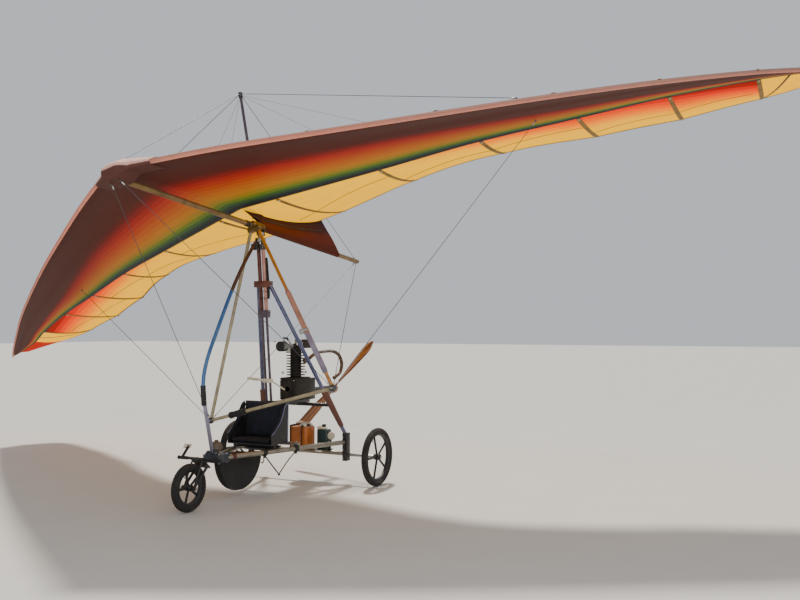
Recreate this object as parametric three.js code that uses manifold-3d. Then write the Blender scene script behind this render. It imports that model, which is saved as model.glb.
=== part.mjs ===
// Ultralight trike: a three-wheeled pusher power unit that hangs under a flex wing.
// Millimetres, +X to port, +Y aft, +Z up. The trike is laid out from the ground point midway
// between its rear wheels, the fork from its steering axis and the wing from its roll pivot.
import * as THREE from 'three';
import { mergeVertices } from 'three/addons/utils/BufferGeometryUtils.js';
import Module from 'manifold-3d';

const wasm = await Module();
wasm.setup();

const GAP = 0.3; // between pieces that rest on each other
const RUNNING = 0.5; // round a shaft that turns, measured on the radius
const DEG = Math.PI / 180;

// Centre of the model's box, seen from above, in the trike's own layout.
const BOX_CENTRE = { x: -58.36, y: -435.97 };

// Stance and wheels.
const TRACK = 1520;
const WHEELBASE = 1590;
const REAR_WHEEL = { radius: 254, width: 64, rim: 204, spokeThick: 16, hub: 27, hubHalf: 32 };
const NOSE_WHEEL = { radius: 183, width: 62, rim: 130, spokeThick: 18, hub: 25, hubHalf: 32 };
const SPOKES = 5;
const AXLE = { radius: 8, shoulder: 14, nut: 15, nutLength: 10, play: 1 };

// Base frame: two side tubes from the rear corners to the nose.
const BASE = { cornerX: 444, cornerZ: 366, noseX: 50, noseY: -1240, noseZ: 364, radius: 20 };
const CORNER = { x: 44, y: 64, low: 200, high: 448 };
const REAR_CROSS = { z: 262, radius: 19 };
const SEAT_CROSS = { y: -770, radius: 16, overhang: 10 };
const NOSE_BLOCK = { halfX: 78, front: -1336, back: -1196, low: 334, high: 396 };

// Mast: a pair of tubes that lean forward, thick above the clamp and thin below it.
const MAST = {
  footY: -527, footZ: 395, topY: -694, topZ: 2100, lowX: 23, lowRadius: 11, highX: 24, highRadius: 17,
};
const MAST_CLAMP_Z = 1500;
const STRUT_COLLAR_Z = 1765;
const REAR_STRUT = { radius: 14, topX: 59, topBack: 18 };
const HANDLE = { z: 935, grip: [-100, -735, 962], lever: [168, -572, 862], radius: 10, leverRadius: 6 };

// Front strut in the plane of symmetry, [y, z] from the mast head down.
const FRONT_STRUT = { radius: 15, sleeveRadius: 21, postRadius: 13, steps: 28 };
const FRONT_STRUT_BENDS = [
  [-770, 2112], [-816, 2060], [-925, 1926], [-1026, 1785], [-1118, 1638],
  [-1209, 1478], [-1298, 1318], [-1372, 1180], [-1420, 1050], [-1438, 925],
];
const SLEEVE = { top: [-1436, 945], bottom: [-1421, 790] };
const POST_FOOT = [-1318, 408];

// Steering: the head leans back, and the wheel's hub lies ahead of the axis.
const RAKE = 40 * DEG;
const FORK = {
  hubDown: 271, hubAhead: 27, legX: 48, legRadius: 11, stayRadius: 7, headRadius: 24, headHalf: 50,
};
const STEM_RADIUS = 14;
const CROWN = { halfX: 60, ahead: 88, behind: 24, thick: 12 };
const FOOT_BAR = { ahead: 66, half: 205, radius: 11 };

// Seat: a padded bucket in front of the mast's foot. Heights are from its own underside.
const SEAT = { half: 226, sideThick: 24, sink: 20 };
const SEAT_PROFILE = [
  [-842, 20], [-846, 62], [-800, 66], [-690, 60], [-650, 88],
  [-630, 372], [-590, 372], [-604, 40], [-640, 14],
];
const SEAT_SIDE = [[-842, 22], [-842, 112], [-780, 150], [-704, 226], [-650, 330], [-610, 352], [-610, 22]];

// Half-round bag that hangs from a tray between the side tubes.
const BAG = {
  y: -985, z: 348, radius: 274, half: 36, trayHalf: 112, trayFront: -1035, trayBack: -850, trayThick: 12,
};

// Engine and its drive, behind the mast.
const BEARER = { y: -145, z: 700, radius: 16 };
const RAIL = { x: 62, wide: 26, high: 30, plate: 12, low: BEARER.z + BEARER.radius - 3 };
const ENGINE = { x: 170, front: -285, back: -25, low: RAIL.low + RAIL.high + GAP, high: 945 };
const CYLINDER = { y: -150, radius: 50, high: 1190, finRadius: 86, fins: 9, finThick: 7 };
const HEAD = { radius: 46, finRadius: 70, high: 1248 };
const CARBURETTOR = { z: 1226, radius: 25, front: -322, filterFront: -404, filterRadius: 42 };
const EXHAUST = { radius: 16, steps: 28 };
const EXHAUST_BENDS = [
  [40, -150, 1080], [112, -142, 1098], [160, -70, 1158], [171, 60, 1174],
  [171, 220, 1170], [171, 330, 1128], [171, 378, 1048], [171, 348, 968], [171, 262, 930],
];
const SHAFT = { z: 800, housing: 34, housingBack: 430, radius: 15 };
const PROPELLER = { y: 500, radius: 640, angle: 46, hubRadius: 46, hubThick: 44, chord: 92, thick: 15 };

// Fuel and oil, on a tray along the rear cross tube.
const TRAY = { front: -146, back: 76, starboard: -100, port: 262, thick: 6, cheeks: [-62, 205] };
const TANK = { x: 10, y: -55, wide: 196, deep: 160, high: 206, corner: 30, bevel: 10 };
const BOTTLE = { x: 200, y: 18, wide: 116, deep: 90, high: 178, corner: 24, bevel: 8, neck: 17 };

// Hang point: a pitch bolt across the mast head, and a roll bolt along the keel above it.
const HANG = { y: -700, z: 2143, rollAbove: 52, bolt: 6 };
const PITCH_AT_REST = 5.9 * DEG;
const ROLL_AT_REST = 14.7 * DEG;

// Wing, from the roll pivot: the sail's apex, keel, control frame, kingpost and stays.
const APEX = { y: -1738, z: 80 };
const KEEL = { z: 55, radius: 22, front: -1718, back: 1702 };
const FRAME = { topX: 34, topY: -86, topZ: 26, cornerX: 592, cornerY: -243, cornerZ: -1494, radius: 14 };
const PAD = { radius: 22, from: 0.42, to: 0.93 };
const KINGPOST = { y: 16, z: 1335, radius: 13 };
const SAIL_SKIN = 6;
const STAY = { radius: 2.5, ball: 8, sailGap: 12, lowAft: 2080, highAft: 1640, out: 2450 };
const NOSE_PLATE = { half: 50, front: -1732, back: -1590, low: 29 };

const FINISH = {
  alloy: [0xa09a8c, 0.45, 0.8],
  beige: [0xa09684, 0.5, 0.6],
  dark: [0x26282b, 0.6, 0.5],
  blue: [0x3a5f9a, 0.4, 0.3],
  red: [0x6b2f22, 0.45, 0.3],
  orange: [0xa0672c, 0.45, 0.3],
  silver: [0xc4c6c8, 0.35, 0.9],
  rubber: [0x1d1f1e, 0.9, 0],
  plastic: [0x222428, 0.6, 0],
  seat: [0x1e2433, 0.85, 0],
  black: [0x121316, 0.9, 0],
  amber: [0xa8662a, 0.4, 0],
  white: [0xd9dccf, 0.5, 0],
  wood: [0x8a5426, 0.4, 0],
  sail: [0xc88a2c, 0.7, 0],
  fin: [0x6b2c20, 0.8, 0],
  wire: [0x9a9c9e, 0.4, 0.9],
};

const v = (x, y, z) => new THREE.Vector3(x, y, z);

function finish(key) {
  const [color, roughness, metalness] = FINISH[key];
  return new THREE.MeshStandardMaterial({ color, roughness, metalness });
}

// Welds a geometry into a solid whose faces point out.
function toSolid(geometry) {
  const bare = geometry.clone();
  bare.deleteAttribute('normal');
  bare.deleteAttribute('uv');
  const welded = mergeVertices(bare, 1e-3);
  const vertProperties = new Float32Array(welded.attributes.position.array);
  const triVerts = new Uint32Array(welded.index.array);
  return new wasm.Manifold(new wasm.Mesh({ numProp: 3, vertProperties, triVerts }));
}

function toGeometry(solid) {
  const { vertProperties, triVerts } = solid.getMesh();
  const geometry = new THREE.BufferGeometry();
  geometry.setAttribute('position', new THREE.BufferAttribute(new Float32Array(vertProperties), 3));
  geometry.setIndex(new THREE.BufferAttribute(new Uint32Array(triVerts), 1));
  geometry.computeVertexNormals();
  return geometry;
}

const fuse = (...geometries) => toGeometry(geometries.map(toSolid).reduce((a, b) => a.add(b)));
const cut = (body, ...tools) => toGeometry(tools.map(toSolid).reduce((a, b) => a.subtract(b), toSolid(body)));

const box = (x, y, z, at = v(0, 0, 0)) => new THREE.BoxGeometry(x, y, z).translate(at.x, at.y, at.z);

// Box between two corners.
function span(low, high) {
  const size = high.clone().sub(low);
  return box(size.x, size.y, size.z, low.clone().add(high).multiplyScalar(0.5));
}

function rod(from, to, radius, sides = 16) {
  const along = to.clone().sub(from);
  const geometry = new THREE.CylinderGeometry(radius, radius, along.length(), sides);
  const turn = new THREE.Quaternion().setFromUnitVectors(v(0, 1, 0), along.normalize());
  return geometry.applyQuaternion(turn).translate(...from.clone().add(to).multiplyScalar(0.5));
}

// The room that a rod needs in what it is plugged into.
function socket(from, to, radius, slack = GAP) {
  const along = to.clone().sub(from).normalize().multiplyScalar(slack);
  return rod(from.clone().sub(along), to.clone().add(along), (radius + slack) / Math.cos(Math.PI / 24), 24);
}

function roundShape(radius, sides) {
  const points = [];
  for (let i = 0; i < sides; i += 1) {
    const angle = (i / sides) * 2 * Math.PI;
    points.push(new THREE.Vector2(radius * Math.cos(angle), radius * Math.sin(angle)));
  }
  return new THREE.Shape(points);
}

function bentTube(points, radius, steps, sides = 12) {
  const extrudePath = new THREE.CatmullRomCurve3(points, false, 'centripetal');
  return new THREE.ExtrudeGeometry(roundShape(radius, sides), { steps, bevelEnabled: false, extrudePath });
}

// A grid box, bent by a function of (along, across, side), each running from 0 to 1.
// A left-handed bend turns its faces round again.
function bentBox(segments, place, leftHanded = false) {
  const geometry = new THREE.BoxGeometry(1, 1, 1, ...segments);
  const position = geometry.attributes.position;
  for (let i = 0; i < position.count; i += 1) {
    const spot = place(position.getX(i) + 0.5, position.getY(i) + 0.5, position.getZ(i) + 0.5);
    position.setXYZ(i, spot.x, spot.y, spot.z);
  }
  if (leftHanded) {
    const index = geometry.index;
    for (let i = 0; i < index.count; i += 3) {
      const first = index.getX(i);
      index.setX(i, index.getX(i + 1));
      index.setX(i + 1, first);
    }
  }
  return geometry;
}

// Turned ring whose profile, [radius, offset along X], closes on itself.
function ring(profile, segments) {
  const points = [...profile, profile[0]].map(([radius, along]) => new THREE.Vector2(radius, along));
  return new THREE.LatheGeometry(points, segments).rotateZ(-Math.PI / 2);
}

function add(parent, name, geometry, key, at = v(0, 0, 0)) {
  const mesh = new THREE.Mesh(geometry, finish(key));
  mesh.name = name;
  mesh.position.copy(at);
  parent.add(mesh);
  return mesh;
}

function addRod(parent, name, from, to, radius, key, sides = 16) {
  const along = to.clone().sub(from);
  const mesh = add(parent, name, new THREE.CylinderGeometry(radius, radius, along.length(), sides), key);
  mesh.position.copy(from).add(to).multiplyScalar(0.5);
  mesh.quaternion.setFromUnitVectors(v(0, 1, 0), along.normalize());
  return mesh;
}

const SIDES = [['port', 1], ['starboard', -1]];

// Wheel: a tyre on a rim with broad spokes and a bored hub.
function addWheel(parent, name, at, size) {
  const { radius, width, rim, spokeThick, hub, hubHalf } = size;
  const half = width / 2;
  const tread = radius - half;
  const tyre = [[rim + GAP, -half * 0.55]];
  for (let i = 0; i <= 8; i += 1) {
    const angle = (-100 + (i * 200) / 8) * DEG;
    tyre.push([tread + half * Math.cos(angle), half * Math.sin(angle)]);
  }
  tyre.push([rim + GAP, half * 0.55]);
  add(parent, `${name}_tyre`, ring(tyre, 40), 'rubber', at);

  const rimHalf = half * 0.62;
  const section = [[rim - 16, -rimHalf * 0.6], [rim, -rimHalf], [rim, rimHalf], [rim - 16, rimHalf * 0.6]];
  const rimRing = ring(section, 40);
  const pieces = [rimRing, rod(v(-hubHalf, 0, 0), v(hubHalf, 0, 0), hub, 20)];
  for (let i = 0; i < SPOKES; i += 1) {
    const reach = rim - 8 - hub * 0.6;
    const spoke = box(spokeThick, hub * 1.1, reach, v(0, 0, hub * 0.6 + reach / 2));
    pieces.push(spoke.rotateX((i / SPOKES) * 2 * Math.PI + 0.3));
  }
  const bore = rod(v(-hubHalf - 5, 0, 0), v(hubHalf + 5, 0, 0), AXLE.radius + RUNNING, 20);
  add(parent, `${name}_mag`, cut(fuse(...pieces), bore), 'plastic', at);
}

function mastAt(z, x = 0) {
  const t = (z - MAST.footZ) / (MAST.topZ - MAST.footZ);
  return v(x, MAST.footY + t * (MAST.topY - MAST.footY), z);
}

function sideTubeAt(y, side) {
  const t = y / BASE.noseY;
  const x = BASE.cornerX + t * (BASE.noseX - BASE.cornerX);
  return v(side * x, y, BASE.cornerZ + t * (BASE.noseZ - BASE.cornerZ));
}

function addBaseFrame(trike) {
  const crossEnd = BASE.cornerX - CORNER.x / 2 + 18;
  const crossTube = [v(-crossEnd, 0, REAR_CROSS.z), v(crossEnd, 0, REAR_CROSS.z), REAR_CROSS.radius];
  addRod(trike, 'rear_cross_tube', ...crossTube, 'alloy');
  for (const [word, side] of SIDES) {
    const tube = [sideTubeAt(-12, side), sideTubeAt(BASE.noseY, side), BASE.radius];
    addRod(trike, `side_tube_${word}`, ...tube, 'alloy');

    const hubX = TRACK / 2 - REAR_WHEEL.hubHalf - AXLE.play;
    const stub = [v(side * 446, 0, REAR_WHEEL.radius), v(side * hubX, 0, REAR_WHEEL.radius), AXLE.shoulder];
    const outX = TRACK / 2 + REAR_WHEEL.hubHalf + AXLE.play;
    const height = REAR_WHEEL.radius;
    const pin = rod(v(side * 450, 0, height), v(side * (outX + 2), 0, height), AXLE.radius);
    const nutFrom = v(side * outX, 0, REAR_WHEEL.radius);
    const nut = rod(nutFrom, v(side * (outX + AXLE.nutLength), 0, REAR_WHEEL.radius), AXLE.nut, 6);
    add(trike, `axle_stub_${word}`, fuse(rod(...stub), pin, nut), 'dark');

    const block = span(
      v(side * BASE.cornerX - CORNER.x / 2, -CORNER.y / 2, CORNER.low),
      v(side * BASE.cornerX + CORNER.x / 2, CORNER.y / 2, CORNER.high),
    );
    const strut = rearStrut(side);
    add(trike, `rear_corner_${word}`, cut(block, ...sockets([tube, crossTube, stub, strut])), 'dark');
    addRod(trike, `rear_strut_${word}`, ...strut, 'blue');
    addWheel(trike, `wheel_${word}`, v(side * TRACK / 2, 0, REAR_WHEEL.radius), REAR_WHEEL);
  }
}

function rearStrut(side) {
  const top = mastAt(STRUT_COLLAR_Z);
  return [
    v(side * BASE.cornerX, -6, CORNER.high - 20),
    v(side * REAR_STRUT.topX, top.y + REAR_STRUT.topBack, top.z),
    REAR_STRUT.radius,
  ];
}

const seatCross = (y) => {
  const end = sideTubeAt(y, 1);
  const z = end.z + BASE.radius + SEAT_CROSS.radius + GAP;
  return [v(-end.x - SEAT_CROSS.overhang, y, z), v(end.x + SEAT_CROSS.overhang, y, z), SEAT_CROSS.radius];
};

function mastLower(side) {
  return [mastAt(440, side * MAST.lowX), mastAt(MAST_CLAMP_Z + 18, side * MAST.lowX), MAST.lowRadius];
}

function mastUpper(side) {
  const x = side * MAST.highX;
  return [mastAt(MAST_CLAMP_Z + 20, x), mastAt(MAST.topZ - 20, x), MAST.highRadius];
}

const bothSides = (tube) => SIDES.map(([, side]) => tube(side));
const sockets = (tubes) => tubes.map((tube) => socket(...tube));

function addMast(trike) {
  const lows = bothSides(mastLower);
  const highs = bothSides(mastUpper);
  const clamp = box(92, 52, 64, mastAt(MAST_CLAMP_Z + 10));
  add(trike, 'mast_lower', cut(fuse(clamp, ...lows.map((tube) => rod(...tube))), ...sockets(highs)), 'dark');

  const collar = box(152, 66, 54, mastAt(STRUT_COLLAR_Z).add(v(0, 8, 0)));
  const upper = fuse(collar, ...highs.map((tube) => rod(...tube, 20)));
  add(trike, 'mast_upper', cut(upper, ...sockets(bothSides(rearStrut))), 'red');

  const cross = seatCross(MAST.footY);
  addRod(trike, 'mast_cross_tube', ...cross, 'alloy');
  const foot = box(96, 64, 84, v(0, MAST.footY, cross[0].z + 12));
  add(trike, 'mast_foot', cut(foot, socket(...cross), ...sockets(lows)), 'dark');
  addMastHead(trike, highs);

  // Hand grip and throttle lever, in one clamp on the lower tubes.
  const at = mastAt(HANDLE.z);
  const grip = rod(at.clone().add(v(-10, -14, 0)), v(...HANDLE.grip), HANDLE.radius);
  const lever = rod(at.clone().add(v(34, 0, 0)), v(...HANDLE.lever), HANDLE.leverRadius, 10);
  const handle = fuse(box(78, 46, 34, at), grip, lever);
  add(trike, 'throttle_handle', cut(handle, ...sockets(lows)), 'white');
}

// Mast head: a block with two ears that hold the hang bolt.
function addMastHead(trike, highs) {
  const block = span(v(-44, HANG.y - 60, MAST.topZ - 40), v(44, HANG.y + 28, MAST.topZ));
  const ears = SIDES.map(([, side]) => span(
    v(side * 30 - 7, HANG.y - 24, MAST.topZ - 20),
    v(side * 30 + 7, HANG.y + 24, HANG.z + 16),
  ));
  const bolt = rod(v(-48, HANG.y, HANG.z), v(48, HANG.y, HANG.z), HANG.bolt, 16);
  const strutLug = span(v(-24, HANG.y - 100, MAST.topZ - 50), v(24, HANG.y - 50, MAST.topZ));
  const head = fuse(block, ...ears, bolt, strutLug);
  const strutRoom = bentTube(frontStrutPoints(), FRONT_STRUT.radius + 2 * GAP, FRONT_STRUT.steps);
  add(trike, 'mast_head', cut(head, strutRoom, ...sockets(highs)), 'dark');
}

function frontStrutPoints() {
  return FRONT_STRUT_BENDS.map(([y, z]) => v(0, y, z));
}

function addFrontStrut(trike) {
  const bends = frontStrutPoints();
  add(trike, 'front_strut', bentTube(bends, FRONT_STRUT.radius, FRONT_STRUT.steps), 'blue');
  const last = bends[bends.length - 1];
  const top = v(0, ...SLEEVE.top);
  const bottom = v(0, ...SLEEVE.bottom);
  const post = [bottom.clone().lerp(top, 0.3), v(0, ...POST_FOOT), FRONT_STRUT.postRadius];
  const strutEnd = last.clone().add(last.clone().sub(bends[bends.length - 2]).normalize().multiplyScalar(1));
  const strutIn = last.clone().lerp(bends[bends.length - 2], 0.35);
  const inside = rod(strutIn, strutEnd, FRONT_STRUT.radius + 1);
  const sleeve = cut(rod(top, bottom, FRONT_STRUT.sleeveRadius, 20), inside, socket(...post));
  add(trike, 'strut_sleeve', sleeve, 'dark');
  addRod(trike, 'front_post', ...post, 'alloy');
  return post;
}

// Steering frame: origin on the steering axis, local -Z down the axis and -Y ahead of it.
const hubPoint = v(0, -WHEELBASE, NOSE_WHEEL.radius);
const axisDown = v(0, -Math.sin(RAKE), -Math.cos(RAKE));
const axisAhead = v(0, -Math.cos(RAKE), Math.sin(RAKE));
const headPoint = hubPoint.clone()
  .addScaledVector(axisDown, -FORK.hubDown)
  .addScaledVector(axisAhead, -FORK.hubAhead);

function inSteeringFrame(geometry) {
  return geometry.rotateX(-RAKE).translate(headPoint.x, headPoint.y, headPoint.z);
}

function addNose(trike, post) {
  const head = inSteeringFrame(rod(v(0, 0, -FORK.headHalf), v(0, 0, FORK.headHalf), FORK.headRadius, 24));
  const bore = inSteeringFrame(rod(v(0, 0, -90), v(0, 0, 90), STEM_RADIUS + RUNNING, 24));
  const block = span(
    v(-NOSE_BLOCK.halfX, NOSE_BLOCK.front, NOSE_BLOCK.low),
    v(NOSE_BLOCK.halfX, NOSE_BLOCK.back, NOSE_BLOCK.high),
  );
  const neck = span(v(-22, headPoint.y, NOSE_BLOCK.low + 12), v(22, NOSE_BLOCK.front + 10, NOSE_BLOCK.high));
  const lug = span(v(-22, POST_FOOT[0] - 8, 376), v(22, POST_FOOT[0] + 32, 436));
  const tubes = SIDES.map(([, side]) => (
    socket(sideTubeAt(-12, side), sideTubeAt(BASE.noseY, side), BASE.radius)
  ));
  add(trike, 'nose_block', cut(fuse(block, neck, lug, head), bore, socket(...post), ...tubes), 'blue');
}

function addSteering(trike) {
  const fork = new THREE.Group();
  fork.position.copy(headPoint);
  fork.rotation.x = -RAKE;
  trike.add(fork);

  const crownTop = -FORK.headHalf - 2;
  const crownLow = crownTop - CROWN.thick;
  const hub = v(0, -FORK.hubAhead, -FORK.hubDown);
  const pieces = [
    span(v(-CROWN.halfX, -CROWN.ahead, crownLow), v(CROWN.halfX, CROWN.behind, crownTop)),
    rod(v(0, 0, crownLow + 2), v(0, 0, FORK.headHalf + 14), STEM_RADIUS, 24),
    rod(v(0, 0, FORK.headHalf + 2), v(0, 0, FORK.headHalf + 14), FORK.headRadius - 2, 6),
    rod(v(-FORK.legX - 22, hub.y, hub.z), v(FORK.legX + 22, hub.y, hub.z), AXLE.radius, 20),
  ];
  for (const side of [1, -1]) {
    const eye = v(side * FORK.legX, hub.y, hub.z);
    pieces.push(
      rod(v(side * FORK.legX, 0, crownLow + 4), eye, FORK.legRadius),
      rod(v(side * FORK.legX, -CROWN.ahead + 10, crownLow + 4), eye, FORK.stayRadius, 12),
      rod(eye.clone().setX(side * (FORK.legX - 9)), eye.clone().setX(side * (FORK.legX + 12)), 17),
    );
  }
  add(fork, 'fork', fuse(...pieces), 'dark');

  const barZ = crownTop + FOOT_BAR.radius + GAP;
  const barEnd = (side) => v(side * FOOT_BAR.half, -FOOT_BAR.ahead, barZ);
  const bar = [barEnd(-1), barEnd(1), FOOT_BAR.radius];
  const plateAt = v(-196, -FOOT_BAR.ahead + 22, barZ + 118);
  const riser = rod(v(-172, -FOOT_BAR.ahead, barZ), plateAt.clone().add(v(12, 0, 0)), 11, 12);
  const plate = box(66, 8, 34, plateAt);
  addRod(fork, 'foot_bar', ...bar, 'dark');
  add(fork, 'foot_pedal', cut(fuse(riser, plate), socket(...bar)), 'white');
  addWheel(trike, 'wheel_nose', hubPoint, NOSE_WHEEL);
}

// Upright slab between two X planes, whose outline is given as [y, z] and runs clockwise seen from port.
function slab(outline, low, high) {
  const shape = new THREE.Shape(outline.map(([y, z]) => new THREE.Vector2(y, z)));
  const solid = new THREE.ExtrudeGeometry(shape, { depth: high - low, bevelEnabled: false });
  // The outline's plane turns from XY into YZ, and the extrusion from Z to X.
  const turn = new THREE.Matrix4().makeBasis(v(0, 1, 0), v(0, 0, 1), v(1, 0, 0));
  return solid.applyMatrix4(turn).translate(low, 0, 0);
}

function addSeat(trike) {
  const front = seatCross(SEAT_CROSS.y);
  addRod(trike, 'seat_cross_tube', ...front, 'alloy');
  const low = front[0].z + SEAT_CROSS.radius - SEAT.sink;
  const sides = [[-SEAT.half, SEAT.sideThick - SEAT.half], [SEAT.half - SEAT.sideThick, SEAT.half]];
  const shell = fuse(
    slab(SEAT_PROFILE, -SEAT.half + 2, SEAT.half - 2),
    ...sides.map(([from, to]) => slab(SEAT_SIDE, from, to)),
  ).translate(0, 0, low);
  add(trike, 'seat', cut(shell, ...sockets([front, ...bothSides(mastLower)])), 'seat');
}

function addBellyBag(trike) {
  const outline = [];
  const steps = 18;
  for (let i = 0; i <= steps; i += 1) {
    const angle = Math.PI + (i / steps) * Math.PI;
    outline.push([BAG.y + BAG.radius * Math.cos(angle), BAG.z + BAG.radius * Math.sin(angle)]);
  }
  const bag = slab(outline, -BAG.half, BAG.half);
  const tray = span(
    v(-BAG.trayHalf, BAG.trayFront, BAG.z - 2),
    v(BAG.trayHalf, BAG.trayBack, BAG.z + BAG.trayThick),
  );
  const tubes = bothSides((side) => [sideTubeAt(-12, side), sideTubeAt(BASE.noseY, side), BASE.radius]);
  const block = span(v(-200, NOSE_BLOCK.front - 20, NOSE_BLOCK.low - 6), v(200, NOSE_BLOCK.back + 6, 500));
  add(trike, 'belly_bag', cut(fuse(bag, tray), block, ...sockets(tubes)), 'black');
}

function addEngine(trike) {
  const strutAt = (z) => {
    const [low, high] = rearStrut(1);
    return low.clone().lerp(high, (z - low.z) / (high.z - low.z));
  };
  const end = strutAt(BEARER.z);
  const behind = REAR_STRUT.radius + BEARER.radius + 1;
  const bearerEnd = (side) => v(side * (end.x - 4), end.y + behind, BEARER.z);
  const bearer = rod(bearerEnd(-1), bearerEnd(1), BEARER.radius);
  const plateY = mastAt(RAIL.low + RAIL.high / 2).y + MAST.lowRadius - 4;
  const rails = [1, -1].map((side) => span(
    v(side * RAIL.x - RAIL.wide / 2, plateY + 4, RAIL.low),
    v(side * RAIL.x + RAIL.wide / 2, ENGINE.back - 4, RAIL.low + RAIL.high),
  ));
  const plate = span(
    v(-RAIL.x - 16, plateY, RAIL.low - 14),
    v(RAIL.x + 16, plateY + RAIL.plate, RAIL.low + RAIL.high + 14),
  );
  add(trike, 'engine_mount', cut(fuse(bearer, plate, ...rails), ...sockets(bothSides(mastLower))), 'dark');
  const half = ENGINE.x / 2;
  const crankcase = span(v(-half, ENGINE.front, ENGINE.low), v(half, ENGINE.back, ENGINE.high));
  add(trike, 'engine_block', crankcase, 'dark');

  const upright = (radius, low, high, sides = 24) => (
    rod(v(0, CYLINDER.y, low), v(0, CYLINDER.y, high), radius, sides)
  );
  const barrel = [upright(CYLINDER.radius, ENGINE.high + GAP, CYLINDER.high)];
  const pitch = (CYLINDER.high - ENGINE.high - 20) / CYLINDER.fins;
  for (let i = 0; i < CYLINDER.fins; i += 1) {
    const z = ENGINE.high + 16 + i * pitch;
    barrel.push(upright(CYLINDER.finRadius, z, z + CYLINDER.finThick));
  }
  add(trike, 'cylinder', fuse(...barrel), 'dark');

  const headLow = CYLINDER.high + GAP;
  const shroud = span(v(-34, CYLINDER.y + 30, headLow + 14), v(46, 28, HEAD.high + 38));
  const base = upright(HEAD.finRadius, headLow, headLow + 12);
  const head = [base, upright(HEAD.radius, headLow, HEAD.high), shroud];
  for (const rise of [22, 36]) head.push(upright(HEAD.finRadius, headLow + rise, headLow + rise + 6));
  add(trike, 'cylinder_head', fuse(...head), 'silver');

  const { z, radius, front, filterFront, filterRadius } = CARBURETTOR;
  const intake = fuse(
    rod(v(0, CYLINDER.y, z), v(0, front - 2, z), radius, 20),
    rod(v(0, front, z), v(0, filterFront, z), filterRadius, 24),
    rod(v(0, -272, z - 62), v(0, -272, z), 21),
  );
  add(trike, 'carburettor', cut(intake, upright(HEAD.finRadius + 1, 1100, 1300)), 'silver');

  const pipe = bentTube(EXHAUST_BENDS.map((bend) => v(...bend)), EXHAUST.radius, EXHAUST.steps);
  add(trike, 'exhaust', cut(pipe, upright(CYLINDER.finRadius + 1, 900, 1300)), 'alloy');

  const drive = span(v(-70, ENGINE.back + GAP, 735), v(70, 70, 930));
  const housing = rod(v(0, 60, SHAFT.z), v(0, SHAFT.housingBack, SHAFT.z), SHAFT.housing, 20);
  const bore = rod(v(0, 200, SHAFT.z), v(0, SHAFT.housingBack + 5, SHAFT.z), SHAFT.radius + RUNNING, 20);
  add(trike, 'drive_housing', cut(fuse(drive, housing), bore), 'dark');
}

// Upright can with rounded corners, standing on a height.
function can({ x, y, wide, deep, high, corner, bevel }, low) {
  const [a, b, r] = [wide / 2 - bevel, deep / 2 - bevel, corner - bevel];
  const shape = new THREE.Shape();
  shape.absarc(a - r, b - r, r, 0, Math.PI / 2, false);
  shape.absarc(r - a, b - r, r, Math.PI / 2, Math.PI, false);
  shape.absarc(r - a, r - b, r, Math.PI, 1.5 * Math.PI, false);
  shape.absarc(a - r, r - b, r, 1.5 * Math.PI, 2 * Math.PI, false);
  const depth = high - 2 * bevel;
  const options = { depth, bevelThickness: bevel, bevelSize: bevel, bevelSegments: 3, curveSegments: 5 };
  return new THREE.ExtrudeGeometry(shape, options).translate(x, y, low + bevel);
}

function addFuel(trike) {
  const cross = [v(-400, 0, REAR_CROSS.z), v(400, 0, REAR_CROSS.z), REAR_CROSS.radius];
  const low = REAR_CROSS.z + REAR_CROSS.radius + GAP;
  const top = low + TRAY.thick;
  const plate = span(v(TRAY.starboard, TRAY.front, low), v(TRAY.port, TRAY.back, top));
  const cheeks = TRAY.cheeks.map((x) => span(v(x - 12, -27, low - 24), v(x + 12, 27, low + 2)));
  add(trike, 'tank_tray', cut(fuse(plate, ...cheeks), socket(...cross)), 'alloy');

  const tankTop = top + GAP + TANK.high;
  const fillerAt = (z) => v(TANK.x + 34, TANK.y - 30, z);
  const filler = rod(fillerAt(tankTop - 4), fillerAt(tankTop + 22), 25, 20);
  add(trike, 'fuel_tank', fuse(can(TANK, top + GAP), filler), 'amber');

  const bottleTop = top + GAP + BOTTLE.high;
  const neckAt = (z) => v(BOTTLE.x, BOTTLE.y, z);
  const neck = rod(neckAt(bottleTop - 4), neckAt(bottleTop + 30), BOTTLE.neck, 16);
  add(trike, 'oil_bottle', fuse(can(BOTTLE, top + GAP), neck), 'white');
}

// One blade from the hub to its tip, along local X and turned about it as it goes out.
function blade() {
  const inner = PROPELLER.hubRadius * 0.5;
  return bentBox([12, 4, 2], (along, across, side) => {
    const r = inner + along * (PROPELLER.radius - inner);
    const rounding = Math.max(0.03, 1 - Math.max(0, along - 0.86) * 6.9);
    const plan = Math.min(1, 0.42 + along * 1.5) * Math.sqrt(rounding);
    const chord = PROPELLER.chord * plan;
    const twist = (58 - 44 * along) * DEG;
    const camber = PROPELLER.thick * (1.35 - 0.9 * along) * (1 - (2 * across - 1) ** 2 * 0.8);
    const c = (across - 0.5) * chord;
    const t = (side - 0.5) * camber;
    return v(r, t * Math.cos(twist) + c * Math.sin(twist), c * Math.cos(twist) - t * Math.sin(twist));
  }, true);
}

function addPropeller(trike) {
  const propeller = new THREE.Group();
  propeller.position.set(0, PROPELLER.y, SHAFT.z);
  propeller.rotation.y = -PROPELLER.angle * DEG;
  trike.add(propeller);
  const half = PROPELLER.hubThick / 2;
  const hub = rod(v(0, -half, 0), v(0, half, 0), PROPELLER.hubRadius, 24);
  add(propeller, 'propeller', fuse(hub, blade(), blade().rotateY(Math.PI)), 'wood');
  const flange = rod(v(0, -half - 14, 0), v(0, -half - GAP, 0), PROPELLER.hubRadius - 4, 24);
  const shaft = rod(v(0, 230 - PROPELLER.y, 0), v(0, -half - 8, 0), SHAFT.radius, 20);
  add(propeller, 'propeller_shaft', fuse(flange, shaft), 'silver');
}

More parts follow.
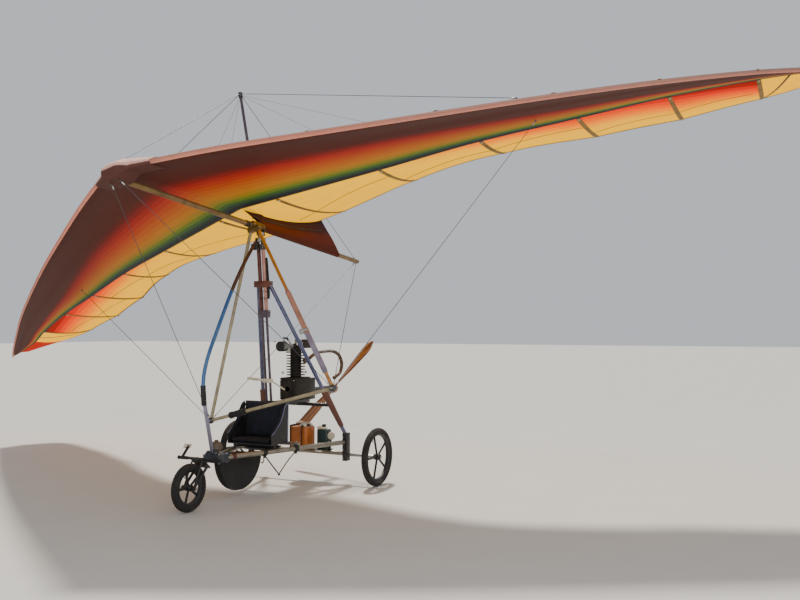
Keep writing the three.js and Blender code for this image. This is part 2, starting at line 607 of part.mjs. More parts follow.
function addHangBlock(pitch) {
  const block = span(v(-17, -20, -18), v(17, 20, HANG.rollAbove + 15));
  const bolt = rod(v(-30, 0, 0), v(30, 0, 0), HANG.bolt + RUNNING, 16);
  const rollBolt = rod(v(0, -30, HANG.rollAbove), v(0, 30, HANG.rollAbove), HANG.bolt + RUNNING, 16);
  add(pitch, 'hang_block', cut(block, bolt, rollBolt), 'silver');
}

function addKeel(wing) {
  const keel = [v(0, KEEL.front, KEEL.z), v(0, KEEL.back, KEEL.z), KEEL.radius];
  addRod(wing, 'keel_tube', ...keel, 'beige', 20);
  const plate = span(
    v(-NOSE_PLATE.half, NOSE_PLATE.front, NOSE_PLATE.low),
    v(NOSE_PLATE.half, NOSE_PLATE.back, APEX.z - GAP),
  );
  add(wing, 'nose_plate', cut(plate, socket(...keel)), 'silver');
  const cheeks = [-1, 1].map((side) => span(v(-18, side * 30 - 7, -16), v(18, side * 30 + 7, KEEL.z)));
  const saddle = span(v(-30, -130, KEEL.z - 30), v(30, 38, KEEL.z + 30));
  const apex = span(v(-56, FRAME.topY - 24, 4), v(56, FRAME.topY + 20, KEEL.z - 10));
  const window = span(v(-31, -22.5, -20), v(31, 22.5, KEEL.z - 20));
  const bolt = rod(v(0, -38, 0), v(0, 38, 0), HANG.bolt, 16);
  const bracket = fuse(cut(fuse(saddle, apex, ...cheeks), window), bolt);
  add(wing, 'keel_bracket', cut(bracket, socket(...keel), ...sockets(bothSides(downtube))), 'silver');
}

// Sail sections by span. Columns: distance out, leading edge, end of the double surface and
// trailing edge aft of the apex, then the heights of those three above the apex.
const SAIL_SECTIONS = [
  { out: 0, lead: 0, under: 1500, trail: 2830, leadZ: 0, underZ: 90, trailZ: 290 },
  { out: 600, lead: 336, under: 1680, trail: 2720, leadZ: 34, underZ: 110, trailZ: 262 },
  { out: 1200, lead: 685, under: 1880, trail: 2610, leadZ: 43, underZ: 140, trailZ: 255 },
  { out: 1900, lead: 1110, under: 2150, trail: 2790, leadZ: 58, underZ: 195, trailZ: 290 },
  { out: 2700, lead: 1640, under: 2480, trail: 3240, leadZ: 92, underZ: 225, trailZ: 310 },
  { out: 3400, lead: 2120, under: 2740, trail: 3560, leadZ: 112, underZ: 238, trailZ: 320 },
  { out: 4070, lead: 2610, under: 3030, trail: 3790, leadZ: 118, underZ: 235, trailZ: 345 },
  { out: 4440, lead: 2880, under: 3220, trail: 3800, leadZ: 96, underZ: 225, trailZ: 330 },
  { out: 4670, lead: 3055, under: 3200, trail: 3420, leadZ: 74, underZ: 150, trailZ: 220 },
];
const SAIL_ROWS = [
  0, 300, 600, 900, 1200, 1550, 1900, 2300, 2700, 3050, 3400, 3735, 4070, 4255, 4440, 4570, 4670,
];
const SAIL_CHORDS = [0, 0.015, 0.05, 0.11, 0.19, 0.28, 0.38, 0.48, 0.58, 0.67, 0.76, 0.84, 0.92, 1];
const POCKET = 122; // greatest depth of the double surface
const REFLEX = 2.3; // how late the single surface turns up behind it

// Smooth curve through the sections for one of their columns.
function alongSpan(out, key) {
  const last = SAIL_SECTIONS.length - 1;
  let i = 0;
  while (i < last - 1 && out > SAIL_SECTIONS[i + 1].out) i += 1;
  const slope = (k) => {
    const [a, b] = [SAIL_SECTIONS[Math.max(k - 1, 0)], SAIL_SECTIONS[Math.min(k + 1, last)]];
    return (b[key] - a[key]) / (b.out - a.out);
  };
  const [from, to] = [SAIL_SECTIONS[i], SAIL_SECTIONS[i + 1]];
  const reach = to.out - from.out;
  const t = (out - from.out) / reach;
  const rise = from[key] * (1 + 2 * t) * (1 - t) ** 2 + to[key] * t * t * (3 - 2 * t);
  return rise + reach * (slope(i) * t * (1 - t) ** 2 - slope(i + 1) * t * t * (1 - t));
}

// Point of the sail at a distance out and a fraction of the chord, on its lower or upper face.
function sailPoint(out, chord, upper) {
  const [lead, under, trail] = ['lead', 'under', 'trail'].map((key) => alongSpan(out, key));
  const [leadZ, underZ, trailZ] = ['leadZ', 'underZ', 'trailZ'].map((key) => alongSpan(out, key));
  const split = (under - lead) / (trail - lead);
  const taper = 1 - 0.7 * (out / SAIL_SECTIONS[SAIL_SECTIONS.length - 1].out) ** 2;
  const t = chord < split ? chord / split : (chord - split) / (1 - split);
  let z = underZ + t ** REFLEX * (trailZ - underZ);
  let thick = SAIL_SKIN;
  if (chord < split) {
    z = leadZ + t * (underZ - leadZ);
    thick += POCKET * taper * Math.sqrt(t + 0.02) * (1 - t) * 1.9;
  }
  return v(out, APEX.y + lead + chord * (trail - lead), APEX.z + z + (upper ? thick : 0));
}

// The same point by its distance aft of the apex.
function sailAt(out, aft, upper) {
  const lead = alongSpan(out, 'lead');
  return sailPoint(out, (aft - lead) / (alongSpan(out, 'trail') - lead), upper);
}

function addSail(wing) {
  const tip = SAIL_ROWS[SAIL_ROWS.length - 1];
  for (const [word, side] of SIDES) {
    const steps = [SAIL_ROWS.length - 1, SAIL_CHORDS.length - 1, 1];
    const half = bentBox(steps, (along, across, upper) => {
      const out = SAIL_ROWS[Math.round(along * steps[0])];
      const point = sailPoint(out, SAIL_CHORDS[Math.round(across * steps[1])], upper > 0.5);
      return v(side * (GAP + out * (1 - GAP / tip)), point.y, point.z);
    }, side < 0);
    add(wing, `sail_${word}`, cut(half, socket(...kingpost())), 'sail');
  }
}

// Keel fin: the deep cloth pocket between the keel and the sail, aft of the control frame.
function addKeelFin(wing) {
  const top = (y) => sailAt(0, y - APEX.y, false).z - 3;
  const keelTop = KEEL.z + KEEL.radius + GAP;
  const steps = 12;
  const [front, back, foot] = [70, APEX.y + SAIL_SECTIONS[0].trail, 1300];
  const fin = bentBox([steps, 1, 1], (along, across, side) => {
    const y = front + along * ((side > 0.5 ? back : foot) - front);
    return v((across - 0.5) * 6, y, side > 0.5 ? top(y) : keelTop);
  }, true);
  add(wing, 'keel_fin', fin, 'fin');
}

function frameCorner(side) {
  return v(side * FRAME.cornerX, FRAME.cornerY, FRAME.cornerZ);
}

function downtube(side) {
  const top = v(side * FRAME.topX, FRAME.topY, FRAME.topZ);
  const toward = frameCorner(side).sub(top).normalize();
  return [top, frameCorner(side).addScaledVector(toward, -26), FRAME.radius];
}

// Stay with a swaged ball on its far end.
function stay(from, to) {
  const ball = new THREE.SphereGeometry(STAY.ball, 8, 6).translate(to.x, to.y, to.z);
  return [rod(from, to, STAY.radius, 6), ball];
}

function addControlFrame(wing) {
  const inset = v(26, 0, 0);
  const bar = [frameCorner(-1).add(inset), frameCorner(1).sub(inset), FRAME.radius];
  addRod(wing, 'base_bar', ...bar, 'beige');
  addRod(wing, 'downtube_starboard', ...downtube(-1), 'beige');
  const [top, foot, radius] = downtube(1);
  const pad = rod(top.clone().lerp(foot, PAD.from), top.clone().lerp(foot, PAD.to), PAD.radius, 16);
  add(wing, 'downtube_port', fuse(rod(top, foot, radius), pad), 'orange');

  // Corner fittings, each with its side, nose and tail stays.
  for (const [word, side] of SIDES) {
    const at = frameCorner(side);
    const underSail = sailAt(STAY.out, STAY.lowAft, false).sub(v(0, 0, STAY.sailGap));
    const ends = [
      v(side * underSail.x, underSail.y, underSail.z),
      v(side * 40, NOSE_PLATE.back - 80, NOSE_PLATE.low - STAY.ball - GAP),
      v(side * 12, KEEL.back - 60, KEEL.z - KEEL.radius - STAY.ball + 2),
    ];
    const fitting = new THREE.SphereGeometry(27, 16, 10).translate(at.x, at.y, at.z);
    const whole = fuse(fitting, ...ends.flatMap((end) => stay(at, end)));
    add(wing, `corner_${word}`, cut(whole, ...sockets([bar, downtube(side)])), 'dark');
  }
}

// Cap on the kingpost, with the stays above the sail.
function addUpperStays(wing) {
  const top = v(0, KINGPOST.y, KINGPOST.z);
  const cap = rod(v(0, KINGPOST.y, KINGPOST.z - 30), v(0, KINGPOST.y, KINGPOST.z + 14), 20, 16);
  const from = top.clone().add(v(0, 0, 6));
  const onSail = (out, aft) => sailAt(Math.abs(out), aft, true).setX(out).add(v(0, 0, STAY.sailGap));
  const ends = [onSail(0, 90), onSail(STAY.out, STAY.highAft), onSail(-STAY.out, STAY.highAft)];
  ends.push(v(0, KEEL.back - 60, KEEL.z + KEEL.radius + STAY.ball + GAP));
  const whole = fuse(cap, ...ends.flatMap((end) => stay(from, end)));
  add(wing, 'upper_stays', cut(whole, socket(...kingpost())), 'wire');
}

// The kingpost stands on the keel and comes up through the sail.
function kingpost() {
  return [v(0, KINGPOST.y, KEEL.z + 30 + GAP), v(0, KINGPOST.y, KINGPOST.z), KINGPOST.radius];
}

const model = new THREE.Group();
const trike = new THREE.Group();
model.add(trike);
addBaseFrame(trike);
addMast(trike);
const post = addFrontStrut(trike);
addNose(trike, post);
addSteering(trike);
addSeat(trike);
addBellyBag(trike);
addEngine(trike);
addFuel(trike);
addPropeller(trike);

const pitch = new THREE.Group();
pitch.position.set(0, HANG.y, HANG.z);
pitch.rotation.x = -PITCH_AT_REST;
trike.add(pitch);
addHangBlock(pitch);

const wing = new THREE.Group();
wing.position.set(0, 0, HANG.rollAbove);
wing.rotation.y = -ROLL_AT_REST;
pitch.add(wing);
addKeel(wing);
addSail(wing);
addKeelFin(wing);
addControlFrame(wing);
addRod(wing, 'kingpost', ...kingpost(), 'alloy');
addUpperStays(wing);

trike.position.set(-BOX_CENTRE.x, -BOX_CENTRE.y, 0);

export default model;
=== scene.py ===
"""Ultralight trike under a striped flex wing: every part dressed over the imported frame."""
import logging
import math
from abc import ABC, abstractmethod
from dataclasses import dataclass, field
from enum import Enum
from typing import Callable, Iterable, Optional, Sequence

import bmesh
import bpy
from mathutils import Matrix, Vector, noise


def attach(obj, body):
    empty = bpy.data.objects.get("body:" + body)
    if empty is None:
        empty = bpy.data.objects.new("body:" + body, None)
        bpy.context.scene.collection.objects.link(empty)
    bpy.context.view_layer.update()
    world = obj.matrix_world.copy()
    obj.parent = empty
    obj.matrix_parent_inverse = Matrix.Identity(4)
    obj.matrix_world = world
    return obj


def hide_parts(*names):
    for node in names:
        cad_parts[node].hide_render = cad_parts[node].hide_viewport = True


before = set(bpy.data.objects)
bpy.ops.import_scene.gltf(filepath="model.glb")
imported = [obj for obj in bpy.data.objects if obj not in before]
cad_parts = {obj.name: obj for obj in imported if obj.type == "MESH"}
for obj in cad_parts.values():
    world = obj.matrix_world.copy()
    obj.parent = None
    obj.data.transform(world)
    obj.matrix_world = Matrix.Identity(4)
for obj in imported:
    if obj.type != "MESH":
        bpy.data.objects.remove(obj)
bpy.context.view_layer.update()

logging.basicConfig(level=logging.INFO, format="%(message)s")
LOG = logging.getLogger("trike")

Point = Sequence[float]
MM = 0.001
SCALE = Matrix.Scale(MM, 4)
BOX_SHIFT = Vector((0.05836, 0.43597, 0.0))
SIDES = (("port", 1), ("starboard", -1))
GAP = 0.3

# Driving sizes in millimetres. The trike's are laid out from the ground between its rear wheels.
TRACK_HALF = 760
REAR_RADIUS = 254
NOSE_WHEEL_Y, NOSE_RADIUS = -1590, 183
CORNER_X, CORNER_Z = 444, 366
TUBE_NOSE_X, TUBE_NOSE_Y, TUBE_NOSE_Z = 50, -1240, 364
SIDE_RADIUS, CROSS_RADIUS = 20, 16
REAR_CROSS_Z = 262
SEAT_Y, MAST_Y = -770, -527
MAST_LOW, MAST_HIGH, MAST_LEAN = 395, 2100, 167
COLLAR_Z = 1765
HANG_Y, HANG_Z, ROLL_ABOVE = -700, 2143, 52
SHAFT_BACK, SHAFT_Z = 500, 800
CYLINDER_Y = -150
# The wing's are laid out from its roll pivot.
KEEL_Z, KEEL_RADIUS, KEEL_FRONT, KEEL_BACK = 55, 22, -1718, 1702
BAR_X, BAR_Y, BAR_Z, BAR_RADIUS = 592, -243, -1494, 14
KINGPOST_Y, KINGPOST_TOP = 16, 1335


def turn(degrees: float, axis: str) -> Matrix:
    """Rotation by degrees about one of the axes."""
    return Matrix.Rotation(math.radians(degrees), 4, axis)


# Frames that shapes are laid out in, in millimetres: the trike from the ground between its rear
# wheels, the wing from its roll pivot, the fork from its steering axis, the propeller from its hub.
TRIKE = Matrix.Translation(BOX_SHIFT) @ SCALE
PITCH = TRIKE @ Matrix.Translation((0, HANG_Y, HANG_Z)) @ turn(-5.9, "X")
WING = PITCH @ Matrix.Translation((0, 0, ROLL_ABOVE)) @ turn(-14.7, "Y")
STEER = TRIKE @ Matrix.Translation((0, -1395.1, 373.2)) @ turn(-40, "X")
AIRSCREW = TRIKE @ Matrix.Translation((0, SHAFT_BACK, SHAFT_Z)) @ turn(-46, "Y")


class Body(str, Enum):
    """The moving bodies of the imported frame."""

    TRIKE = "trike"
    FORK = "fork"
    NOSE_WHEEL = "nose_wheel"
    PORT_WHEEL = "port_wheel"
    STARBOARD_WHEEL = "starboard_wheel"
    PROPELLER = "propeller"
    HANG_BLOCK = "hang_block"
    WING = "wing"


def linear(colour: str) -> tuple[float, float, float, float]:
    """Linear colour of an sRGB hex value.

    Args:
        colour: six hex digits after a hash sign.
    Returns:
        Red, green, blue and an alpha of one.
    """
    parts = [int(colour[i:i + 2], 16) / 255 for i in (1, 3, 5)]
    red, green, blue = (c / 12.92 if c <= 0.04045 else ((c + 0.055) / 1.055) ** 2.4 for c in parts)
    return (red, green, blue, 1.0)


Tree = bpy.types.NodeTree
Node = bpy.types.Node
Socket = bpy.types.NodeSocket


def add(
    tree: Tree, kind: str, values: Optional[dict] = None, links: Optional[dict] = None, **settings,
) -> Node:
    """Adds a node to a material.

    Args:
        tree: the material's node tree.
        kind: the node's type name.
        values: input sockets by name or number, and the value each holds.
        links: input sockets by name or number, and the output each takes.
        settings: properties of the node itself.
    Returns:
        The new node.
    """
    made = tree.nodes.new(kind)
    for key, value in settings.items():
        setattr(made, key, value)
    for key, value in (values or {}).items():
        made.inputs[key].default_value = value
    for key, source in (links or {}).items():
        tree.links.new(source, made.inputs[key])
    return made


def ramp(tree: Tree, factor: Socket, stops: Sequence[tuple[float, str]], mode: str = "LINEAR") -> Socket:
    """A colour ramp over a factor.

    Args:
        tree: the material's node tree.
        factor: the output that runs along the ramp.
        stops: place and hex colour of each stop, in order.
        mode: how the ramp goes from stop to stop.
    Returns:
        The ramp's colour output.
    """
    node = add(tree, "ShaderNodeValToRGB", links={0: factor})
    elements = node.color_ramp.elements
    node.color_ramp.interpolation = mode
    while len(elements) < len(stops):
        elements.new(0.5)
    for element, (place, colour) in zip(elements, stops):
        element.position = place
        element.color = linear(colour)
    return node.outputs["Color"]


def mixed(tree: Tree, factor: Socket, first: Socket | str, second: Socket | str) -> Socket:
    """Two colours, hex values or outputs, mixed by a factor."""
    node = add(tree, "ShaderNodeMix", links={0: factor}, data_type="RGBA")
    for key, source in ((6, first), (7, second)):
        if isinstance(source, str):
            node.inputs[key].default_value = linear(source)
        else:
            tree.links.new(source, node.inputs[key])
    return node.outputs[2]


def sharpened(
    tree: Tree, source: Socket, low: float, high: float, out_low: float = 0.0, out_high: float = 1.0,
) -> Socket:
    """A value stretched from one range to another and clamped there."""
    node = add(
        tree, "ShaderNodeMapRange", links={0: source},
        values={1: low, 2: high, 3: out_low, 4: out_high}, clamp=True,
    )
    return node.outputs[0]


def grain(tree: Tree, size_mm: float, stretch: Point = (1, 1, 1), detail: float = 3.0) -> Socket:
    """Noise on Object coordinates.

    Args:
        tree: the material's node tree.
        size_mm: the size of one blot, in millimetres.
        stretch: how much finer the noise is along each axis.
        detail: how many finer layers it has.
    Returns:
        The noise value, from 0 to 1.
    """
    where = add(tree, "ShaderNodeTexCoord").outputs["Object"]
    mapped = add(tree, "ShaderNodeMapping", links={"Vector": where}, values={"Scale": stretch}).outputs[0]
    node = add(
        tree, "ShaderNodeTexNoise", links={"Vector": mapped},
        values={"Scale": 1 / (size_mm * MM), "Detail": detail},
    )
    return node.outputs[0]


def waves(tree: Tree, axis: str, scale: float, **values: float) -> Socket:
    """Waves along an axis on Object coordinates.

    Args:
        tree: the material's node tree.
        axis: the axis's letter.
        scale: the Wave Texture's scale.
        values: its other inputs by name.
    Returns:
        The wave value, from 0 to 1.
    """
    where = add(tree, "ShaderNodeTexCoord").outputs["Object"]
    node = add(
        tree, "ShaderNodeTexWave", links={"Vector": where}, values={"Scale": scale, **values},
        bands_direction=axis,
    )
    return node.outputs["Fac"]


def highest(tree: Tree, first: Socket, second: Socket) -> Socket:
    """The greater of two values."""
    return add(tree, "ShaderNodeMath", links={0: first, 1: second}, operation="MAXIMUM").outputs[0]


def bumped(tree: Tree, height: Socket, depth_mm: float) -> Socket:
    """Bump normal from a height of 0 to 1 and its depth in millimetres."""
    node = add(
        tree, "ShaderNodeBump", links={"Height": height}, values={"Strength": 0.6, "Distance": depth_mm * MM},
    )
    return node.outputs[0]


@dataclass(frozen=True)
class Finish(ABC):
    """A finish: its name, and the shader that makes its material."""

    name: str

    @abstractmethod
    def shader(self, tree: Tree) -> Node:
        """Adds the finish's nodes and gives the last of them."""

    def build(self) -> bpy.types.Material:
        """Makes the node material."""
        material = bpy.data.materials.new(self.name)
        material.use_nodes = True
        tree = material.node_tree
        tree.nodes.clear()
        add(tree, "ShaderNodeOutputMaterial", links={"Surface": self.shader(tree).outputs[0]})
        return material


@dataclass(frozen=True)
class Hard(Finish):
    """A hard finish: a clean colour, a worn or dusty one in patches, and a fine grain.

    Sizes are millimetres. Grain is what the making leaves, and patches are what use leaves.
    """

    colour: str
    worn: str
    metallic: float = 0.0
    roughness: float = 0.45
    uneven: float = 0.12
    grain_mm: float = 2.0
    grain_depth: float = 0.05
    stretch: tuple[float, float, float] = (1, 1, 1)
    patch_mm: float = 90.0
    wear: float = 0.35
    coat: float = 0.0

    def shader(self, tree: Tree) -> Node:
        """Adds the patches, the grain and the shader."""
        patches = grain(tree, self.patch_mm, detail=6)
        fine = grain(tree, self.grain_mm, self.stretch)
        worn = sharpened(tree, patches, 0.62 - self.wear * 0.35, 0.78, 0, 0.85)
        colour = mixed(tree, worn, self.colour, self.worn)
        speck = sharpened(tree, fine, 0.35, 0.7, 0, 0.25)
        colour = mixed(tree, speck, colour, self.worn)
        smooth, rough = self.roughness - self.uneven / 2, self.roughness + self.uneven
        rough = sharpened(tree, patches, 0.3, 0.7, smooth, rough)
        return add(
            tree, "ShaderNodeBsdfPrincipled",
            values={"Metallic": self.metallic, "Coat Weight": self.coat, "Coat Roughness": 0.15},
            links={"Base Color": colour, "Roughness": rough, "Normal": bumped(tree, fine, self.grain_depth)},
        )


@dataclass(frozen=True)
class Woven(Finish):
    """A woven cloth: threads both ways at a real spacing, a soft sheen and faded patches."""

    colour: str
    faded: str
    thread_mm: float = 4.0
    depth: float = 0.4
    roughness: float = 0.85
    sheen: float = 0.2

    def shader(self, tree: Tree) -> Node:
        """Adds the weave, the faded patches and the shader."""
        scale = 0.5 / (self.thread_mm * MM) / math.pi
        weave = highest(tree, *(waves(tree, axis, scale, Distortion=0.4) for axis in ("X", "Z")))
        patches = grain(tree, 120, detail=5)
        colour = mixed(tree, sharpened(tree, patches, 0.42, 0.72), self.colour, self.faded)
        colour = mixed(tree, sharpened(tree, weave, 0.2, 0.9, 0.22, 0), colour, self.faded)
        return add(
            tree, "ShaderNodeBsdfPrincipled",
            values={"Roughness": self.roughness, "Sheen Weight": self.sheen, "Sheen Roughness": 0.5},
            links={"Base Color": colour, "Normal": bumped(tree, weave, self.depth)},
        )


@dataclass(frozen=True)
class Sailcloth(Finish):
    """Coated polyester sailcloth: thin, so the light behind it shows through its colour.

    The stripes follow the cloth by its own band value, 0 to 1, and each keeps its colour up to the
    next one's start, as sewn panels do. The ripstop grid is drawn at 14 mm, coarser than the real
    one, so that it shows.
    """

    stripes: tuple[tuple[float, str], ...]
    glow: float = 0.5
    roughness: float = 0.6
    ripstop_mm: float = 14.0

    def shader(self, tree: Tree) -> Node:
        """Adds the stripes, the ripstop grid, the soiled creases and the two-way shader."""
        band = add(tree, "ShaderNodeAttribute", attribute_name="band").outputs["Fac"]
        colour = add(
            tree, "ShaderNodeMix", values={0: 0.2}, data_type="RGBA",
            links={6: ramp(tree, band, self.stripes, "CONSTANT"), 7: ramp(tree, band, self.stripes)},
        ).outputs[2]
        scale = 1 / (self.ripstop_mm * MM) / (2 * math.pi)
        grid = highest(tree, *(sharpened(tree, waves(tree, axis, scale), 0.9, 1.0) for axis in ("X", "Y")))
        creases = grain(tree, 160, (1, 2.5, 1), 4)
        soiled = sharpened(tree, creases, 0.45, 0.8, 0, 0.3)
        shade = {"Value": 0.72, "Saturation": 1.05}
        dark = add(tree, "ShaderNodeHueSaturation", links={"Color": colour}, values=shade).outputs[0]
        colour = mixed(tree, soiled, colour, dark)
        colour = mixed(tree, sharpened(tree, grid, 0, 1, 0, 0.12), colour, dark)
        normal = bumped(tree, creases, 4.0)
        face = add(
            tree, "ShaderNodeBsdfPrincipled", links={"Base Color": colour, "Normal": normal},
            values={"Roughness": self.roughness, "Specular IOR Level": 0.12},
        )
        through = add(tree, "ShaderNodeBsdfTranslucent", links={"Color": colour, "Normal": normal})
        sides = {1: face.outputs[0], 2: through.outputs[0]}
        return add(tree, "ShaderNodeMixShader", values={0: self.glow}, links=sides)


@dataclass(frozen=True)
class Laminate(Finish):
    """Laminated wood: plies along the blade, fine grain in them and a varnish coat."""

    light: str
    dark: str
    ply_mm: float = 9.0

    def shader(self, tree: Tree) -> Node:
        """Adds the plies, the grain's streaks and the shader."""
        plies = waves(tree, "Y", 1 / (self.ply_mm * MM) / (2 * math.pi), Distortion=1.5, Detail=3.0)
        streaks = grain(tree, 10, (1, 1, 0.12), 5)
        colour = mixed(tree, sharpened(tree, plies, 0.3, 0.7), self.light, self.dark)
        colour = mixed(tree, sharpened(tree, streaks, 0.4, 0.7, 0, 0.5), colour, self.dark)
        return add(
            tree, "ShaderNodeBsdfPrincipled",
            values={"Roughness": 0.38, "Coat Weight": 0.6, "Coat Roughness": 0.12},
            links={"Base Color": colour, "Normal": bumped(tree, streaks, 0.15)},
        )


@dataclass(frozen=True)
class Matt(Finish):
    """A matt ground in two near tones."""

    light: str
    dark: str
    patch_mm: float = 700.0

    def shader(self, tree: Tree) -> Node:
        """Adds the two tones and the shader."""
        tone = mixed(tree, grain(tree, self.patch_mm, detail=5), self.light, self.dark)
        return add(tree, "ShaderNodeBsdfPrincipled", values={"Roughness": 0.9}, links={"Base Color": tone})


# Stripes of the double surface's underside, from the leading edge back: a wide brown border, reds,
# oranges, ochre, green and a dark seam.
UNDER_STRIPES = (
    (0.00, "#4e2c26"), (0.16, "#512a22"), (0.34, "#641f17"), (0.385, "#82190f"), (0.43, "#a22212"),
    (0.48, "#b03412"), (0.53, "#b64c12"), (0.58, "#bb6010"), (0.64, "#bd7212"), (0.70, "#bd8418"),
    (0.765, "#a08a1c"), (0.82, "#6a8620"), (0.865, "#3a6a2a"), (0.905, "#28453a"), (0.94, "#20282e"),
    (0.98, "#120e0c"),
)
# Stripes of the top skin and the single surface, from the leading edge back to the trailing edge.
# The first stop, pale pink, is a painted highlight: sun glare on the brown cloth of the leading edge's top.
TOP_STRIPES = (
    (0.00, "#f0bfae"), (0.17, "#7a4032"), (0.34, "#641f17"), (0.42, "#8c1a0e"), (0.50, "#c8200c"),
    (0.56, "#e83a0a"), (0.62, "#f65c06"), (0.68, "#fb7c04"), (0.74, "#fe9800"), (0.80, "#ffb000"),
    (0.86, "#ffb400"), (0.93, "#ffba00"),
)
# Bands of the keel pocket, from the keel up to the sail.
POCKET_BANDS = (
    (0.0, "#5e2a18"), (0.2, "#6a2c16"), (0.5, "#5c2a1a"), (0.6, "#4c2822"), (0.78, "#46282a"),
    (0.92, "#341f20"),
)


class Finishes:
    """Every finish on the trike, made once."""

    # Anodised aluminium tube: satin grey, drawn along its length, dusty in patches.
    TUBE = Hard("anodised_tube", "#9b9588", "#6f675a", 0.8, 0.42, stretch=(1, 0.1, 1))
    # Keel tube: painted shade, olive brown as the tube shows in the shade under the sail, with worn patches.
    KEEL = Hard("keel_tube_painted_shade", "#8a6f45", "#5c4a30", 0.45, 0.5, stretch=(1, 0.08, 1), wear=0.6)
    # Bare machined aluminium: bright, with a fine grain.
    BRIGHT = Hard("machined_aluminium", "#c4c6c8", "#86837c", 0.95, 0.3, grain_mm=1.2)
    # Cast aluminium under oil and soot: nearly black, brown dust in patches.
    CAST = Hard("sooty_aluminium", "#1d1c1b", "#4b4034", 0.55, 0.6, grain_mm=3, grain_depth=0.2, wear=0.5)
    # Clean cast aluminium of the carburettor and the covers.
    SILVER = Hard("cast_aluminium", "#b9b8b6", "#6d665e", 0.85, 0.42, grain_mm=3, grain_depth=0.15, wear=0.5)
    # Black-painted steel and castings, chipped and dusty.
    BLACK = Hard("black_enamel", "#1c1c1f", "#3e3832", 0.2, 0.5, wear=0.4, coat=0.1)
    # Blue enamel of the front strut, sun-bleached.
    BLUE = Hard("blue_enamel", "#24568f", "#4b7296", 0.2, 0.4, wear=0.5, coat=0.35)
    # Grey-violet enamel of the rear struts, bluish where it is not worn.
    LAVENDER = Hard("grey_blue_enamel", "#3f4c72", "#77728a", 0.3, 0.42, wear=0.75, coat=0.25)
    # Pale violet-grey of the lower front post.
    PALE = Hard("pale_anodised_tube", "#8f8da0", "#6d6874", 0.6, 0.38, stretch=(1, 1, 0.1))
    # Dark blue-grey enamel of the nose casting.
    SLATE = Hard("slate_enamel", "#1e2a38", "#4a4a48", 0.25, 0.55, wear=0.6, coat=0.2)
    # Dark red-brown paint of the starboard mast tube.
    OXIDE = Hard("red_oxide_paint", "#4a1d12", "#7d4a38", 0.1, 0.5, wear=0.5, coat=0.1)
    # Port mast tube: the mast's red-brown painted pink as a highlight.
    PINK = Hard("pink_painted_highlight", "#c08c7c", "#8e5c4c", 0.1, 0.36, wear=0.5, coat=0.3)
    # Grey-violet of the lower mast tubes.
    MAUVE = Hard("mauve_enamel", "#4c404c", "#70636a", 0.4, 0.45, wear=0.5)
    # Brown paint of the front strut's upper part.
    BROWN = Hard("brown_enamel", "#54301a", "#3a2a22", 0.1, 0.5, wear=0.6, coat=0.1)
    # Golden tan enamel of the padded downtube.
    TAN = Hard("golden_enamel", "#b0752c", "#8a5a2a", 0.15, 0.42, wear=0.5, coat=0.3)
    # Keel bracket: painted reflection of the yellow sail, in olive-gold.
    OLIVE = Hard("olive_gold_painted_reflection", "#6e5624", "#3c3020", 0.5, 0.5, wear=0.7)
    # Greyish cream enamel of the base bar and the starboard downtube.
    CREAM = Hard("cream_enamel", "#a59878", "#6f6650", 0.1, 0.45, wear=0.6, coat=0.15)
    # Tyre rubber: matt, pitted, dusty in patches.
    RUBBER = Hard("tyre_rubber", "#171717", "#423c36", 0, 0.85, grain_mm=3, grain_depth=0.3, wear=0.45)
    # Moulded nylon of the wheels.
    NYLON = Hard("moulded_nylon", "#17171a", "#3a3733", 0, 0.5, grain_mm=1.5, wear=0.3)
    # Soft black vinyl of grips and hoses.
    VINYL = Hard("black_vinyl", "#131315", "#33312e", 0, 0.6, grain_mm=1.5, wear=0.2)
    # Off-white moulded plastic, yellowed.
    IVORY = Hard("ivory_plastic", "#d2cab2", "#a3967a", 0, 0.45, grain_mm=4, wear=0.4)
    # Grey-brown moulded cap of the nose.
    DUN = Hard("dun_plastic", "#6f5f4e", "#33291f", 0, 0.6, grain_mm=3, wear=0.6)
    # Dark teal plastic.
    TEAL = Hard("teal_plastic", "#16302e", "#3c4844", 0, 0.5, grain_mm=3, wear=0.4)
    # Natural polyethylene with fuel inside: amber.
    FUEL_CAN = Hard("amber_polyethylene", "#b8641a", "#7a4212", 0, 0.4, grain_mm=6, wear=0.5, coat=0.1)
    # Mild steel exhaust, blued and rusting.
    RUST = Hard("heated_steel", "#6d5a48", "#3a261a", 0.7, 0.5, grain_mm=3, wear=0.9, patch_mm=40)
    # Twisted stainless wire.
    WIRE = Hard("stainless_wire", "#5d5e62", "#403e3c", 0.8, 0.45, grain_mm=3, wear=0.3)
    # Dark weathered metal of the nose plate.
    DULL = Hard("weathered_aluminium", "#4c4844", "#2c2a28", 0.7, 0.55, grain_mm=3, wear=0.6)
    # Pink-brown foam cover of the padded downtube.
    FOAM = Woven("foam_cover", "#ab7a64", "#7a5246", 3.0, 0.3, 0.8, 0.1)
    # Grey-violet lower part of that cover.
    VIOLET_FOAM = Woven("violet_foam_cover", "#8d8496", "#6a5f6c", 3.0, 0.3, 0.8, 0.1)
    # Red-brown foam round the rear struts.
    RUSSET_FOAM = Woven("russet_foam_cover", "#6e4434", "#4c3430", 3.0, 0.3, 0.8, 0.1)
    # Navy seat cloth, nearly black.
    SEAT = Woven("navy_canvas", "#07090f", "#0e1528", 3.5, 0.35, 0.9, 0.0)
    # Violet-grey binding of the seat's edges.
    BINDING = Woven("violet_binding", "#6d6a86", "#4a4862", 3.0, 0.3, 0.8, 0.1)
    # Black proofed nylon of the bag.
    BAG = Woven("black_pack_cloth", "#0d0d0e", "#222120", 4.0, 0.4, 0.8, 0.1)
    # Webbing.
    WEBBING = Woven("black_webbing", "#121214", "#33302d", 2.5, 0.5, 0.8, 0.1)
    # Tan batten pockets and hems.
    POCKET = Woven("tan_tape", "#8a6a30", "#5f4a28", 4.0, 0.3, 0.8, 0.0)
